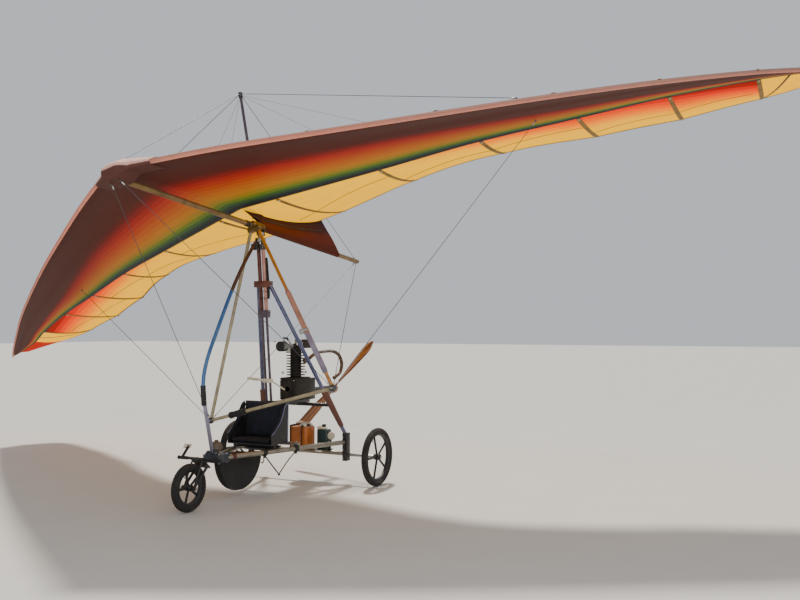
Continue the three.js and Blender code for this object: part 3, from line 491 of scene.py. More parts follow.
    # Thin dark seam tape.
    SEAM = Woven("brown_seam_tape", "#8a5c08", "#6a460c", 4.0, 0.3, 0.8, 0.0)
    # Keel pocket cloth: dull mauve where it meets the sail, red-brown below.
    MAROON = Sailcloth("maroon_sailcloth", POCKET_BANDS, 0.25)
    # Nose cover: brown cloth below, and a painted highlight of pale pink on top.
    NOSE_CLOTH = Sailcloth("nose_cover_cloth_painted_highlight", ((0.0, "#4e2c26"), (0.5, "#e6b2a4"), (1.0, "#f0bfae")), 0.1)
    # The double surface's underside.
    UNDER = Sailcloth("striped_underside", UNDER_STRIPES, 0.2)
    # The top skin and single surface, with a painted highlight of pale pink along the leading edge's top.
    TOP = Sailcloth("striped_sailcloth", TOP_STRIPES, 0.75)
    # Yellow outboard panel.
    YELLOW = Sailcloth("yellow_sailcloth", ((0.0, "#ffb600"), (1.0, "#ffbe00")), 0.8)
    # Red tip panel.
    TIP = Sailcloth("red_sailcloth", ((0.0, "#c02408"), (1.0, "#a81c0a")), 0.4)
    # Laminated propeller.
    WOOD = Laminate("laminated_beech", "#a2632f", "#6a3b1c")
    # Floor of the studio.
    FLOOR = Matt("pale_floor", "#cbc7bf", "#c1bdb5")

    made: dict[str, bpy.types.Material] = {}

    @classmethod
    def of(cls, finish: Finish) -> bpy.types.Material:
        """The material of a finish, built at its first use."""
        if finish.name not in cls.made:
            cls.made[finish.name] = finish.build()
        return cls.made[finish.name]


def smooth_path(points: Iterable[Point], steps: int = 6) -> list[Vector]:
    """A smooth line through points.

    Args:
        points: the points it passes, in order.
        steps: how many pieces each stretch is cut into.
    Returns:
        The line's points.
    """
    knots = [Vector(p) for p in points]
    knots = [knots[0] * 2 - knots[1], *knots, knots[-1] * 2 - knots[-2]]
    line = []
    for a, b, c, d in zip(knots, knots[1:], knots[2:], knots[3:]):
        for i in range(steps):
            t = i / steps
            square, cube = 2 * a - 5 * b + 4 * c - d, 3 * b - a - 3 * c + d
            line.append(0.5 * (2 * b + (c - a) * t + square * t * t + cube * t ** 3))
    return [*line, knots[-2]]


def dials(count: int, ends: int = 0) -> list[float]:
    """Angles of equal steps round a circle, and as many more past it as ends says."""
    return [i * math.tau / count for i in range(count + ends)]


def ring_profile(inner: float, outer: float, half: float) -> list[tuple[float, float]]:
    """Section of a plain ring: radius and place along its axis of each corner."""
    return [(inner, -half), (outer, -half), (outer, half), (inner, half)]


def drawn_in(share: float, steepness: float) -> float:
    """How full a sleeve is at a share of its length: nothing at its ends, soon one between them."""
    return math.sqrt(min(1.0, min(share, 1 - share) * steepness))


def wrinkle(share: float, folds: float, seed: float) -> float:
    """Noise along a sleeve, from -1 to 1."""
    return noise.noise(Vector((share * folds, seed, 0.0)))


class Shape:
    """A mesh in the making, in millimetres, in the frame of what carries it."""

    def __init__(self) -> None:
        """Starts an empty mesh."""
        self.bm = bmesh.new()

    def rounded(self, edges: Iterable[bmesh.types.BMEdge], width: float, segments: int = 2) -> None:
        """Bevels edges by a width."""
        bmesh.ops.bevel(
            self.bm, geom=list(edges), offset=width, offset_type="OFFSET", affect="EDGES",
            segments=segments, profile=0.5, material=-1, clamp_overlap=True,
        )

    def rod(self, start: Point, end: Point, radius: float, end_radius: Optional[float] = None,
            sides: int = 24, edge: float = 1.0) -> None:
        """A round bar or cone from one point to another.

        Args:
            start: the middle of its first end.
            end: the middle of its other end.
            radius: its radius at the start.
            end_radius: its radius at the end, if that differs.
            sides: faces round it.
            edge: bevel at its rims, 0 for none.
        """
        a, b = Vector(start), Vector(end)
        along = b - a
        place = Matrix.Translation((a + b) / 2) @ along.to_track_quat("Z", "Y").to_matrix().to_4x4()
        made = bmesh.ops.create_cone(
            self.bm, cap_ends=True, segments=sides, radius1=radius,
            radius2=radius if end_radius is None else end_radius, depth=along.length, matrix=place,
        )
        if edge:
            touched = {e for v in made["verts"] for e in v.link_edges}
            self.rounded({e for e in touched if any(len(f.verts) == sides for f in e.link_faces)}, edge)

    def cube(self, place: Matrix) -> list[bmesh.types.BMVert]:
        """A unit cube put in place by a matrix."""
        return bmesh.ops.create_cube(self.bm, size=1, matrix=place)["verts"]

    def round_off(self, verts: list[bmesh.types.BMVert], width: float, segments: int = 2) -> None:
        """Bevels every edge that meets some points."""
        self.rounded({e for v in verts for e in v.link_edges}, width, segments)

    def block(self, low: Point, high: Point, edge: float = 2.0, spin: Matrix = Matrix.Identity(4)) -> None:
        """A bar with rounded edges between two corners, turned about its own middle."""
        a, b = Vector(low), Vector(high)
        place = Matrix.Translation((a + b) / 2) @ spin @ Matrix.Diagonal((*(b - a), 1))
        self.round_off(self.cube(place), edge, 3)

    def turned(self, profile: Sequence[Point], at: Point = (0, 0, 0), axis: Point = (1, 0, 0),
               steps: int = 48, ring: bool = False) -> None:
        """A shape spun round an axis.

        Args:
            profile: (radius, distance along the axis) of each point.
            at: the axis's origin.
            axis: the axis's direction.
            steps: faces round it.
            ring: whether the profile closes on itself.
        """
        verts = [self.bm.verts.new((r, 0, z)) for r, z in profile]
        pairs = list(zip(verts, verts[1:])) + ([(verts[-1], verts[0])] if ring else [])
        edges = [self.bm.edges.new(pair) for pair in pairs]
        known = set(self.bm.verts) - set(verts)
        bmesh.ops.spin(
            self.bm, geom=[*verts, *edges], cent=(0, 0, 0), axis=(0, 0, 1), dvec=(0, 0, 0),
            angle=2 * math.pi, steps=steps, use_merge=True,
        )
        fresh = [v for v in self.bm.verts if v not in known]
        bmesh.ops.remove_doubles(self.bm, verts=fresh, dist=0.01)
        fresh = [v for v in self.bm.verts if v not in known]
        place = Matrix.Translation(at) @ Vector(axis).to_track_quat("Z", "Y").to_matrix().to_4x4()
        bmesh.ops.transform(self.bm, matrix=place, verts=fresh)

    def swept(self, points: Sequence[Point], radius: float | Callable[[float], float], sides: int = 12,
              flat: tuple[float, float] = (1, 1), up: Point = (0, 0, 1)) -> None:
        """A round or flattened section drawn along a line.

        Args:
            points: the line.
            radius: the section's radius, or a function of the share of the way along.
            sides: faces round it.
            flat: the section's width across and its height, as shares of the radius.
            up: the way its height points at the start.
        """
        line = [Vector(p) for p in points]
        ways = [(b - a).normalized() for a, b in zip(line, line[1:])]
        tangents = [ways[0], *((a + b).normalized() for a, b in zip(ways, ways[1:])), ways[-1]]
        across = Vector(up).cross(tangents[0]).normalized()
        if across.length < 0.5:
            across = Vector((1, 0, 0))
        facing = Matrix((across, tangents[0].cross(across), tangents[0])).transposed().to_4x4()
        width = radius if callable(radius) else lambda share: radius

        def place(index: int) -> Matrix:
            r = width(index / (len(line) - 1))
            size = Matrix.Diagonal((r * flat[0], r * flat[1], r, 1))
            return Matrix.Translation(line[index]) @ facing @ size

        spot = place(0)
        made = bmesh.ops.create_circle(self.bm, cap_ends=True, segments=sides, radius=1, matrix=spot)
        edges = list({e for v in made["verts"] for e in v.link_edges})
        for index in range(1, len(line)):
            facing = tangents[index - 1].rotation_difference(tangents[index]).to_matrix().to_4x4() @ facing
            following = place(index)
            out = bmesh.ops.extrude_edge_only(self.bm, edges=edges)["geom"]
            verts = {g for g in out if isinstance(g, bmesh.types.BMVert)}
            edges = [g for g in out if isinstance(g, bmesh.types.BMEdge) and set(g.verts) <= verts]
            bmesh.ops.transform(self.bm, matrix=following @ spot.inverted(), verts=list(verts))
            spot = following
        bmesh.ops.contextual_create(self.bm, geom=edges)

    def strap(self, points: Sequence[Point], wide: float, thick: float = 2.0, up: Point = (0, 0, 1)) -> None:
        """A flat strap along a line."""
        self.swept(points, 1.0, 8, (wide / 1.85, thick / 1.85), up)

    def bolt(self, at: Point, axis: Point, size: float = 6.0) -> None:
        """A hexagon head on its washer, and the end of its thread."""
        foot, out = Vector(at), Vector(axis).normalized()
        self.rod(foot - out, foot + out * 1.5, size * 1.15, sides=20, edge=0.4)
        self.rod(foot + out * 1.5, foot + out * (1.5 + size * 0.7), size * 0.92, sides=6, edge=0.6)
        self.rod(foot + out * 1.5, foot + out * (3 + size), size * 0.5, sides=12, edge=0.5)

    def sheet(
        self, across: int, along: int, place: Callable[[float, float], Point],
    ) -> list[bmesh.types.BMVert]:
        """A grid bent by a function of two shares.

        Args:
            across: faces along the first share.
            along: faces along the second share.
            place: the point at two shares, each from 0 to 1.
        Returns:
            The grid's points.
        """
        verts = bmesh.ops.create_grid(self.bm, x_segments=across, y_segments=along, size=1)["verts"]
        for vert in verts:
            vert.co = Vector(place((vert.co.x + 1) / 2, (vert.co.y + 1) / 2))
        return verts

    def copied(self, node: str, edge: float) -> None:
        """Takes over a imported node's surface, welded, with its sharp edges rounded."""
        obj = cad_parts[node]
        self.bm.from_mesh(obj.data)
        bmesh.ops.remove_doubles(self.bm, verts=self.bm.verts, dist=2e-5)
        bmesh.ops.dissolve_limit(
            self.bm, angle_limit=math.radians(1.0), use_dissolve_boundaries=False,
            verts=self.bm.verts, edges=self.bm.edges,
        )
        if edge:
            sharp = [e for e in self.bm.edges if e.is_manifold and e.calc_face_angle(0) > math.radians(50)]
            self.rounded(sharp, edge * MM, 2)

    def done(self, name: str, body: Body, finish: Finish, place: Matrix = TRIKE, slot: str = "",
             replaces: Sequence[str] = (), recalc: bool = True, crease: float = 35.0) -> bpy.types.Object:
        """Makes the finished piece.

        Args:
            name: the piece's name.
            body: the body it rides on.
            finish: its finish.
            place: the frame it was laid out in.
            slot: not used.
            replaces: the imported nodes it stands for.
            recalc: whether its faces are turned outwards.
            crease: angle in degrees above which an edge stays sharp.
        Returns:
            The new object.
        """
        self.bm.transform(place)
        if recalc:
            bmesh.ops.recalc_face_normals(self.bm, faces=self.bm.faces)
        mesh = bpy.data.meshes.new(name)
        self.bm.to_mesh(mesh)
        self.bm.free()
        mesh.shade_smooth()
        mesh.set_sharp_from_angle(angle=math.radians(crease))
        mesh.materials.append(Finishes.of(finish))
        obj = bpy.data.objects.new(name, mesh)
        bpy.context.scene.collection.objects.link(obj)
        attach(obj, body.value)
        if replaces:
            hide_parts(*replaces)
        LOG.info("%s: %d faces", name, len(mesh.polygons))
        return obj


@dataclass(frozen=True)
class Second:
    """A second finish of a piece, on the faces whose middles, in a frame, pass a test."""

    finish: Finish
    test: Callable[[Vector], bool]
    place: Matrix = field(default_factory=lambda: TRIKE)

    def apply(self, obj: bpy.types.Object) -> None:
        """Gives the finish to the piece's faces."""
        back = self.place.inverted()
        obj.data.materials.append(Finishes.of(self.finish))
        for face in obj.data.polygons:
            if self.test(back @ face.center):
                face.material_index = len(obj.data.materials) - 1


@dataclass(frozen=True)
class Casting:
    """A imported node's solid, taken over with its sharp edges rounded."""

    node: str
    finish: Finish
    slot: str
    edge: float = 0.0
    body: Body = Body.TRIKE
    crease: float = 40.0
    second: Optional[Second] = None

    def build(self) -> None:
        """Makes the piece, named after its node."""
        shape = Shape()
        shape.copied(self.node, self.edge)
        obj = shape.done(
            f"{self.node}_finished", self.body, self.finish, Matrix.Identity(4), self.slot, (self.node,),
            crease=self.crease,
        )
        if self.second:
            self.second.apply(obj)


def swell(obj: bpy.types.Object, reach_mm: float, voxel_mm: float = 7.0) -> None:
    """Blows a cushion up with a cloth simulation and keeps the result.

    Args:
        obj: the cushion, made a little small.
        reach_mm: how far a point may move.
        voxel_mm: the size of the faces it is cut into first.
    """
    def apply(kind: str, **settings: float) -> None:
        modifier = obj.modifiers.new(kind.lower(), kind)
        for key, value in settings.items():
            setattr(modifier, key, value)
        with bpy.context.temp_override(object=obj, active_object=obj):
            bpy.ops.object.modifier_apply(modifier=modifier.name)

    apply("REMESH", mode="VOXEL", voxel_size=voxel_mm * MM, use_smooth_shade=True)
    rest = [v.co.copy() for v in obj.data.vertices]
    cloth = obj.modifiers.new("cloth", "CLOTH")
    cloth.settings.use_pressure = True
    cloth.settings.uniform_pressure_force = 4
    cloth.settings.effector_weights.gravity = 0
    scene = bpy.context.scene
    for step in range(1, 21):
        scene.frame_set(step)
    with bpy.context.temp_override(object=obj, active_object=obj):
        bpy.ops.object.modifier_apply(modifier=cloth.name)
    scene.frame_set(1)
    for vert, start in zip(obj.data.vertices, rest):
        moved = vert.co - start
        if moved.length > reach_mm * MM:
            vert.co = start + moved.normalized() * reach_mm * MM
    apply("SUBSURF", levels=1, render_levels=1)
    obj.data.shade_smooth()


@dataclass
class Studio:
    """Camera, floor and light: a plain pale floor under soft light, with the sun behind the sail."""

    eye: tuple[float, float, float] = (4.351, -6.686, 1.395)
    yaw: float = 26.721
    rise: float = 1.829
    focal_px: float = 856.0
    image_px: float = 800.0
    floor_half: float = 60.0

    def build(self) -> None:
        """Makes the camera, the floor and the lights."""
        sensor_mm = 36.0
        camera = bpy.data.cameras.new("camera")
        camera.sensor_width = sensor_mm
        camera.lens = sensor_mm * self.focal_px / self.image_px
        camera.clip_end = 300
        yaw, rise = math.radians(self.yaw), math.radians(self.rise)
        look = Vector((-math.sin(yaw) * math.cos(rise), math.cos(yaw) * math.cos(rise), math.sin(rise)))
        bpy.context.scene.camera = self.placed(camera, look, Vector(self.eye) + BOX_SHIFT)
        self.floor()
        self.lights()

    def placed(self, data: bpy.types.ID, look: Vector, at: Point = (0, 0, 0)) -> bpy.types.Object:
        """Puts a camera or a light somewhere, looking along a direction."""
        obj = bpy.data.objects.new(data.name, data)
        obj.location = at
        obj.rotation_mode = "QUATERNION"
        obj.rotation_quaternion = look.to_track_quat("-Z", "Y")
        bpy.context.scene.collection.objects.link(obj)
        return obj

    def floor(self) -> None:
        """A pale matt floor."""
        floor, wide = Shape(), 2 * self.floor_half
        floor.sheet(4, 4, lambda u, v: ((u - 0.5) * wide, (v - 0.5) * wide, -MM))
        mesh = bpy.data.meshes.new("floor")
        floor.bm.to_mesh(mesh)
        floor.bm.free()
        mesh.materials.append(Finishes.of(Finishes.FLOOR))
        obj = bpy.data.objects.new("floor", mesh)
        bpy.context.scene.collection.objects.link(obj)

    def lights(self) -> None:
        """A soft sun high behind the wing, a wide soft box before it, and a pale surround."""
        sun = bpy.data.lights.new("sun", "SUN")
        sun.energy = 4.2
        sun.angle = math.radians(6)
        sun.color = (1.0, 0.96, 0.9)
        self.placed(sun, Vector((0.3, -0.42, -1.0)))
        box = bpy.data.lights.new("soft_box", "AREA")
        box.energy = 260
        box.size = 6
        spot = Vector((5.5, -7.5, 3.2))
        self.placed(box, Vector((0, 0, 0.9)) - spot, spot)
        world = bpy.data.worlds.new("surround")
        world.use_nodes = True
        surround = world.node_tree.nodes["Background"].inputs
        surround["Color"].default_value = (0.83, 0.87, 0.93, 1)
        surround["Strength"].default_value = 0.7
        bpy.context.scene.world = world


def mast_at(z: float, x: float = 0.0) -> Vector:
    """Point of the mast's middle line at a height."""
    share = (z - MAST_LOW) / (MAST_HIGH - MAST_LOW)
    return Vector((x, MAST_Y - MAST_LEAN * share, z))


def side_tube_at(y: float, side: int = 1) -> Vector:
    """Point of a side tube's middle line."""
    share = y / TUBE_NOSE_Y
    x, z = CORNER_X - (CORNER_X - TUBE_NOSE_X) * share, CORNER_Z - (CORNER_Z - TUBE_NOSE_Z) * share
    return Vector((side * x, y, z))


def seat_cross(y: float, overhang: float = 10.0) -> tuple[Vector, Vector]:
    """Ends of a cross tube that lies on the side tubes."""
    end = side_tube_at(y)
    z = end.z + SIDE_RADIUS + CROSS_RADIUS + GAP
    return Vector((-end.x - overhang, y, z)), Vector((end.x + overhang, y, z))


def rear_strut(side: int) -> tuple[Vector, Vector]:
    """Ends of a rear strut, from its corner up to the mast's collar."""
    top = mast_at(COLLAR_Z)
    return Vector((side * CORNER_X, -6, 428)), Vector((side * 59, top.y + 18, top.z))


@dataclass
class Wheel:
    """A wheel: a treaded tyre on a moulded five-spoke wheel."""

    name: str
    body: Body
    at: tuple[float, float, float]
    radius: float
    width: float
    rim: float
    hub: float = 26.0
    hub_half: float = 32.0
    spokes: int = 5
    first_spoke: float = 0.3
    lugs: int = 60

    def build(self) -> None:
        """Makes the tyre and the wheel."""
        self.tyre()
        self.mag()

    def tyre(self) -> None:
        """Tyre with three grooves round it, shoulder lugs and a moulded bead line."""
        shape = Shape()
        half = self.width / 2
        tread = self.radius - half
        profile = [(self.rim + 0.5, -half * 0.55), (self.rim + 6, -half * 0.66)]
        for degrees in range(-96, 97, 6):
            angle = math.radians(degrees)
            groove = 2.6 if abs(abs(degrees) - 24) <= 3 or degrees == 0 else 0.0
            ridge = 1.0 if abs(degrees) == 66 else 0.0
            out = half - groove + ridge - (0.6 if abs(degrees) < 60 else 1.2)
            profile.append((tread + out * math.cos(angle), out * math.sin(angle)))
        profile += [(self.rim + 6, half * 0.66), (self.rim + 0.5, half * 0.55)]
        shape.turned(profile, self.at, (1, 0, 0), 96, ring=True)
        for i in range(self.lugs):
            for side in (-1, 1):
                swing = turn(360 * (i + (0.25 if side > 0 else 0)) / self.lugs, "X")
                lean = turn(side * 42, "Y")
                spot = Matrix.Translation(self.at) @ swing @ Matrix.Translation((0, 0, tread)) @ lean
                size = Matrix.Diagonal((half * 0.42, 9, 5, 1))
                lug = shape.cube(spot @ Matrix.Translation((0, 0, half - 2.2)) @ size)
                shape.round_off(lug, 0.8, 1)
        node = f"{self.name}_tyre"
        shape.done(f"{self.name}_tread", self.body, Finishes.RUBBER, slot="tyre", replaces=(node,))

    def mag(self) -> None:
        """Rim with a bead channel, a stepped hub, and webbed spokes."""
        shape = Shape()
        half = self.width / 2 * 0.62
        rim, hub, end, bore = self.rim, self.hub, self.hub_half, 8.6
        channel = [(rim - 15, -half * 0.5), (rim - 5, -half * 0.92), (rim, -half), (rim - 0.5, -half + 4),
                   (rim - 4, -half * 0.4)]
        nave = [(bore, -end), (hub * 0.75, -end), (hub * 0.8, -end + 4), (hub, -end + 9)]
        for section, steps in ((channel, 80), (nave, 40)):
            section += [(radius, -out) for radius, out in reversed(section)]
            shape.turned(section, self.at, (1, 0, 0), steps, ring=True)
        low, high = hub * 0.75, rim - 9
        reach = high - low
        for i in range(self.spokes):
            swing = turn(math.degrees(self.first_spoke) + 360 * i / self.spokes, "X")
            spot = Matrix.Translation(self.at) @ swing
            root, outer = Matrix.Translation((0, 0, (low + high) / 2)), spot @ Vector((0, 0, high))
            for wide, deep in ((17, 9), (7, 19)):
                web = shape.cube(spot @ root @ Matrix.Diagonal((deep, wide, reach, 1)))
                flare = [v for v in web if (v.co - outer).length < reach / 2]
                bmesh.ops.scale(shape.bm, vec=(1, 1.35, 1), verts=flare, space=spot.inverted())
                shape.round_off(web, 2.4)
        mid, valve = Vector(self.at), turn(30, "X") @ Vector((0, 0, rim - 12))
        shape.rod(mid + valve, mid + valve * ((rim - 44) / (rim - 12)), 3.5, sides=12)
        node = f"{self.name}_mag"
        shape.done(f"{self.name}_wheel", self.body, Finishes.NYLON, slot="wheel", replaces=(node,))


@dataclass
class Tube:
    """One tube, rebuilt round and true, closed at its ends."""

    node: str
    start: Point
    end: Point
    radius: float
    finish: Finish
    slot: str
    body: Body = Body.TRIKE
    place: Matrix = field(default_factory=lambda: TRIKE)

    def build(self) -> None:
        """Makes the tube."""
        shape = Shape()
        shape.rod(self.start, self.end, self.radius, sides=40, edge=1.2)
        shape.done(f"{self.node}_round", self.body, self.finish, self.place, self.slot, (self.node,))


@dataclass
class Airframe:
    """The trike's tubes, castings and fittings."""

    front_strut_bends: tuple[tuple[float, float], ...] = (
        (-770, 2112), (-816, 2060), (-925, 1926), (-1026, 1785), (-1118, 1638),
        (-1209, 1478), (-1298, 1318), (-1372, 1180), (-1420, 1050), (-1438, 925),
    )
    front_strut_radius: float = 15.0
    post_top: tuple[float, float] = (-1436, 945)
    post_bend: tuple[float, float] = (-1421, 790)
    post_foot: tuple[float, float] = (-1318, 408)

    def build(self) -> None:
        """Makes every piece of the frame."""
        self.tubes()
        self.castings()
        self.strut()
        self.fasteners()
        self.mast_parts()
        self.base_parts()
        self.strut_pads()

    def tubes(self) -> None:
        """Rebuilds the straight tubes."""
        sunk = 4
        cross = [(side * (CORNER_X - sunk), 0, REAR_CROSS_Z) for side in (-1, 1)]
        rows = [
            Tube("rear_cross_tube", *cross, 19, Finishes.TUBE, "alloy"),
            Tube("seat_cross_tube", *seat_cross(SEAT_Y), CROSS_RADIUS, Finishes.BLACK, "alloy"),
            Tube("mast_cross_tube", *seat_cross(MAST_Y), CROSS_RADIUS, Finishes.TUBE, "alloy"),
        ]
        for word, side in SIDES:
            ends = side_tube_at(-12, side), side_tube_at(TUBE_NOSE_Y, side)
            rows.append(Tube(f"side_tube_{word}", *ends, SIDE_RADIUS, Finishes.TUBE, "alloy"))
            rows.append(Tube(f"rear_strut_{word}", *rear_strut(side), 17, Finishes.LAVENDER, "blue_tube"))
        top, bend, foot = (Vector((0, *spot)) for spot in (self.post_top, self.post_bend, self.post_foot))
        rows.append(Tube("front_post", bend.lerp(top, 0.3), foot, 15, Finishes.PALE, "alloy"))
        for row in rows:
            row.build()

    def castings(self) -> None:
        """Takes over the machined and cast pieces with rounded edges."""
        # Painted highlight: the port tube of the upper mast, away from its collar, takes the pink finish.
        port_tube_highlight = Second(Finishes.PINK, lambda mid: mid.x > 4 and abs(mid.z - COLLAR_Z) > 30)
        for casting in (
            Casting("axle_stub_port", Finishes.BRIGHT, "dark_metal", 0.8),
            Casting("axle_stub_starboard", Finishes.BRIGHT, "dark_metal", 0.8),
            Casting("rear_corner_port", Finishes.BLACK, "dark_metal", 2.0),
            Casting("rear_corner_starboard", Finishes.BLACK, "dark_metal", 2.0),
            Casting("mast_lower", Finishes.MAUVE, "dark_metal", 1.5),
            Casting("mast_upper", Finishes.OXIDE, "red_tube", 1.5, second=port_tube_highlight),
            Casting("mast_foot", Finishes.BLACK, "dark_metal", 2.0),
            Casting("mast_head", Finishes.BLACK, "dark_metal", 1.5),
            Casting("throttle_handle", Finishes.IVORY, "bottle", 1.2),
            Casting("strut_sleeve", Finishes.VINYL, "dark_metal", 1.0),
            Casting("nose_block", Finishes.SLATE, "blue_tube", 2.0),
        ):
            casting.build()

    def strut(self) -> None:
        """The bent front strut, blue below and brown from its middle up to the mast head."""
        line = smooth_path([(0, y, z) for y, z in self.front_strut_bends], 6)
        cut = len(line) * 2 // 5
        for word, part, finish in (
            ("lower", line[cut:], Finishes.BLUE), ("upper", line[:cut + 1], Finishes.BROWN),
        ):
            shape = Shape()
            shape.swept(part, self.front_strut_radius, 28, up=(1, 0, 0))
            shape.done(f"front_strut_{word}", Body.TRIKE, finish, slot="blue_tube", replaces=("front_strut",))

    def fasteners(self) -> None:
        """Bolts through the corners, the mast's clamps, the nose and the cross tubes."""
        shape = Shape()
        for _, side in SIDES:
            for z in (222, 300, 348, 410):
                shape.bolt((side * (CORNER_X - 12), -32.3, z), (0, -1, 0), 5)
                shape.bolt((side * (CORNER_X + 12), 32.3, z), (0, 1, 0), 5)
            for z in (240, 420):
                shape.bolt((side * (CORNER_X + 22.3), 14, z), (side, 0, 0), 5)
            for y in (-1316, -1216):
                shape.bolt((side * 62, y, 396.3), (0, 0, 1), 5.5)
                shape.bolt((side * 62, y, 333.7), (0, 0, -1), 5.5)
            for z in (1488, 1532):
                shape.bolt(mast_at(z, side * 46.2), (side, 0, 0), 5)
            for z in (1750, 1782):
                shape.bolt(mast_at(z, side * 76.2) + Vector((0, 8, 0)), (side, 0, 0), 5)
            for y in (SEAT_Y, MAST_Y):
                foot = seat_cross(y)[side > 0]
                shape.bolt(foot + Vector((-side * 22, 0, 16.2)), (0, 0, 1), 4.5)
            for y in (-548, -506):
                shape.bolt((side * 48.2, y, 440), (side, 0, 0), 4.5)
            for z in (2072, 2088):
                shape.bolt((side * 44.2, -730, z), (side, 0, 0), 4)
            shape.bolt((side * 48, HANG_Y, HANG_Z), (side, 0, 0), 6)
        for side in (1, -1):
            shape.bolt((side * 22.2, -1302, 408), (side, 0, 0), 5)
        (low_y, low), (high_y, high) = self.post_bend, self.post_top
        for z in (905, 830):
            shape.bolt((20.5, low_y + (high_y - low_y) * (z - low) / (high - low), z), (1, 0, 0), 3.5)
        shape.done("frame_bolts", Body.TRIKE, Finishes.BRIGHT, slot="alloy")

    def mast_parts(self) -> None:
        """Ribs of the throttle's grip, and the webbing strap round the mast."""
        shape = Shape()
        a, b = Vector((-22, -615, 940)), Vector((-100, -735, 962))
        half = (b - a).normalized() * 3.2
        for i in range(9):
            mid = a.lerp(b, 0.38 + i * 0.068)
            shape.rod(mid - half, mid + half, 11.6, edge=1.6)
        shape.done("grip_ribs", Body.TRIKE, Finishes.IVORY, slot="bottle")

        shape = Shape()
        for z in (1640, 1700):
            loop = [mast_at(z) + Vector((math.cos(t) * 46, math.sin(t) * 22, 0)) for t in dials(24, 1)]
            shape.strap(loop, 26, 3)
        hanging = [mast_at(z, x) for z, x in ((1990, 46), (1960, 50), (1860, 52), (1700, 54), (1640, 48))]
        shape.strap(smooth_path(hanging), 30, 3, (0, 1, 0))
        shape.done("mast_strap", Body.TRIKE, Finishes.WEBBING, slot="bag")

    def base_parts(self) -> None:
        """The stay under the port side tube, the nose's cap and the clamp behind it."""
        tube_way = side_tube_at(-1) - side_tube_at(0)
        shape = Shape()
        front, mid, back = side_tube_at(-862), Vector((250, -768, 181)), side_tube_at(-548)
        drop = Vector((0, 0, -20))
        shape.swept(smooth_path([front + drop, front.lerp(mid, 0.5) + Vector((0, 14, -26)), mid]), 5.5)
        shape.swept(smooth_path([mid, back.lerp(mid, 0.5), back + drop]), 5)
        shape.rod(mid + Vector((-6, 0, -4)), mid + Vector((6, 0, -4)), 9, sides=16)
        for spot in (front, back):
            ring = [(20.4, -16), (29, -16), (30, -12), (30, 12), (29, 16), (20.4, 16)]
            shape.turned(ring, spot, tube_way, 32, ring=True)
            shape.block(spot + Vector((-7, -10, -44)), spot + Vector((7, 10, -26)))
        hook = side_tube_at(-872)
        bend = ((4, 0, -34), (4, -2, -66), (-6, -6, -84), (-16, -8, -74))
        shape.swept(smooth_path([hook + Vector(p) for p in bend]), 4.5)
        shape.done("lower_stay", Body.TRIKE, Finishes.BLACK, slot="dark_metal")

        shape = Shape()
        dome = [(0, 0), (24, 0), (26, 22), (44, 30), (48, 46), (46, 66), (37, 84), (22, 95), (0, 99)]
        shape.turned(dome, (-10, -1256, 396.5), (0, 0, 1))
        shape.turned(ring_profile(48.2, 51, 4), (-10, -1256, 442), (0, 0, 1), ring=True)
        shape.block((-22, -1270, 484), (2, -1242, 504), 5)
        shape.done("nose_pod", Body.TRIKE, Finishes.DUN, slot="red_tube")

        shape = Shape()
        spot = side_tube_at(-1150)
        ring = [(20.4, -15), (24, -15), (25, -11), (25, 11), (24, 15), (20.4, 15)]
        shape.turned(ring, spot, tube_way, 32, ring=True)
        shape.block(spot + Vector((-7, -11, 22)), spot + Vector((7, 11, 38)), 3)
        shape.bolt(spot + Vector((7, 0, 30)), (1, 0, 0), 5)
        shape.done("tube_clamp", Body.TRIKE, Finishes.OXIDE, slot="red_tube")

    def strut_pads(self) -> None:
        """Foam sleeves on the rear struts, thick by the propeller and tapering to the corners."""
        for word, side in SIDES:
            foot, top = rear_strut(side)
            line = [foot.lerp(top, 0.3 - 0.24 * i / 40) + Vector((0, 4, 0)) for i in range(41)]

            def sleeve(share: float, seed: float = side * 3) -> float:
                """Radius of the sleeve, less towards its thin end, drawn in at both and wrinkled."""
                return 17.5 + drawn_in(share, 24) * (13 - 8 * share) + 0.8 * wrinkle(share, 26, seed)

            shape = Shape()
            shape.swept(line, sleeve, 32, up=(0, 1, 0))
            name = f"strut_pad_{word}"
            pad = shape.done(name, Body.TRIKE, Finishes.RUSSET_FOAM, slot="blue_tube", crease=70)


@dataclass
class Steering:
    """The fork, its foot bar and pedal."""

    bar_ahead: float = 66
    bar_half: float = 205
    bar_z: float = -52 + 11 + 0.3

    def build(self) -> None:
        """Makes the fork's pieces."""
        riser = Second(Finishes.BLACK, lambda mid: mid.z < 70, STEER)
        Casting("fork", Finishes.BLACK, "dark_metal", 1.2, Body.FORK).build()
        Casting("foot_pedal", Finishes.IVORY, "bottle", 1.2, Body.FORK, second=riser).build()
        y, z, half = -self.bar_ahead, self.bar_z, self.bar_half
        ends = (-half, y, z), (half, y, z)
        Tube("foot_bar", *ends, 11, Finishes.BLACK, "dark_metal", Body.FORK, STEER).build()
        shape = Shape()
        for _, side in SIDES:
            for i in range(12):
                x = side * (112 + i * 7.2)
                shape.rod((x - 2.8, y, z), (x + 2.8, y, z), 13.6, edge=1.2)
            shape.rod((side * (half - 6), y, z), (side * (half + 2), y, z), 15, edge=2)
        shape.done("foot_rubbers", Body.FORK, Finishes.VINYL, STEER, "dark_metal")
        shape = Shape()
        shape.bolt((0, 0, 66), (0, 0, 1), 9)
        for _, side in SIDES:
            shape.bolt((side * 70.2, -27, -271), (side, 0, 0), 7)
            shape.bolt((side * 30, y, -27.4), (0, 0, 1), 4)
            for reach in (-14, -74):
                shape.bolt((side * 48, reach, -64.2), (0, 0, -1), 4)
        shape.done("fork_bolts", Body.FORK, Finishes.BRIGHT, STEER, "alloy")


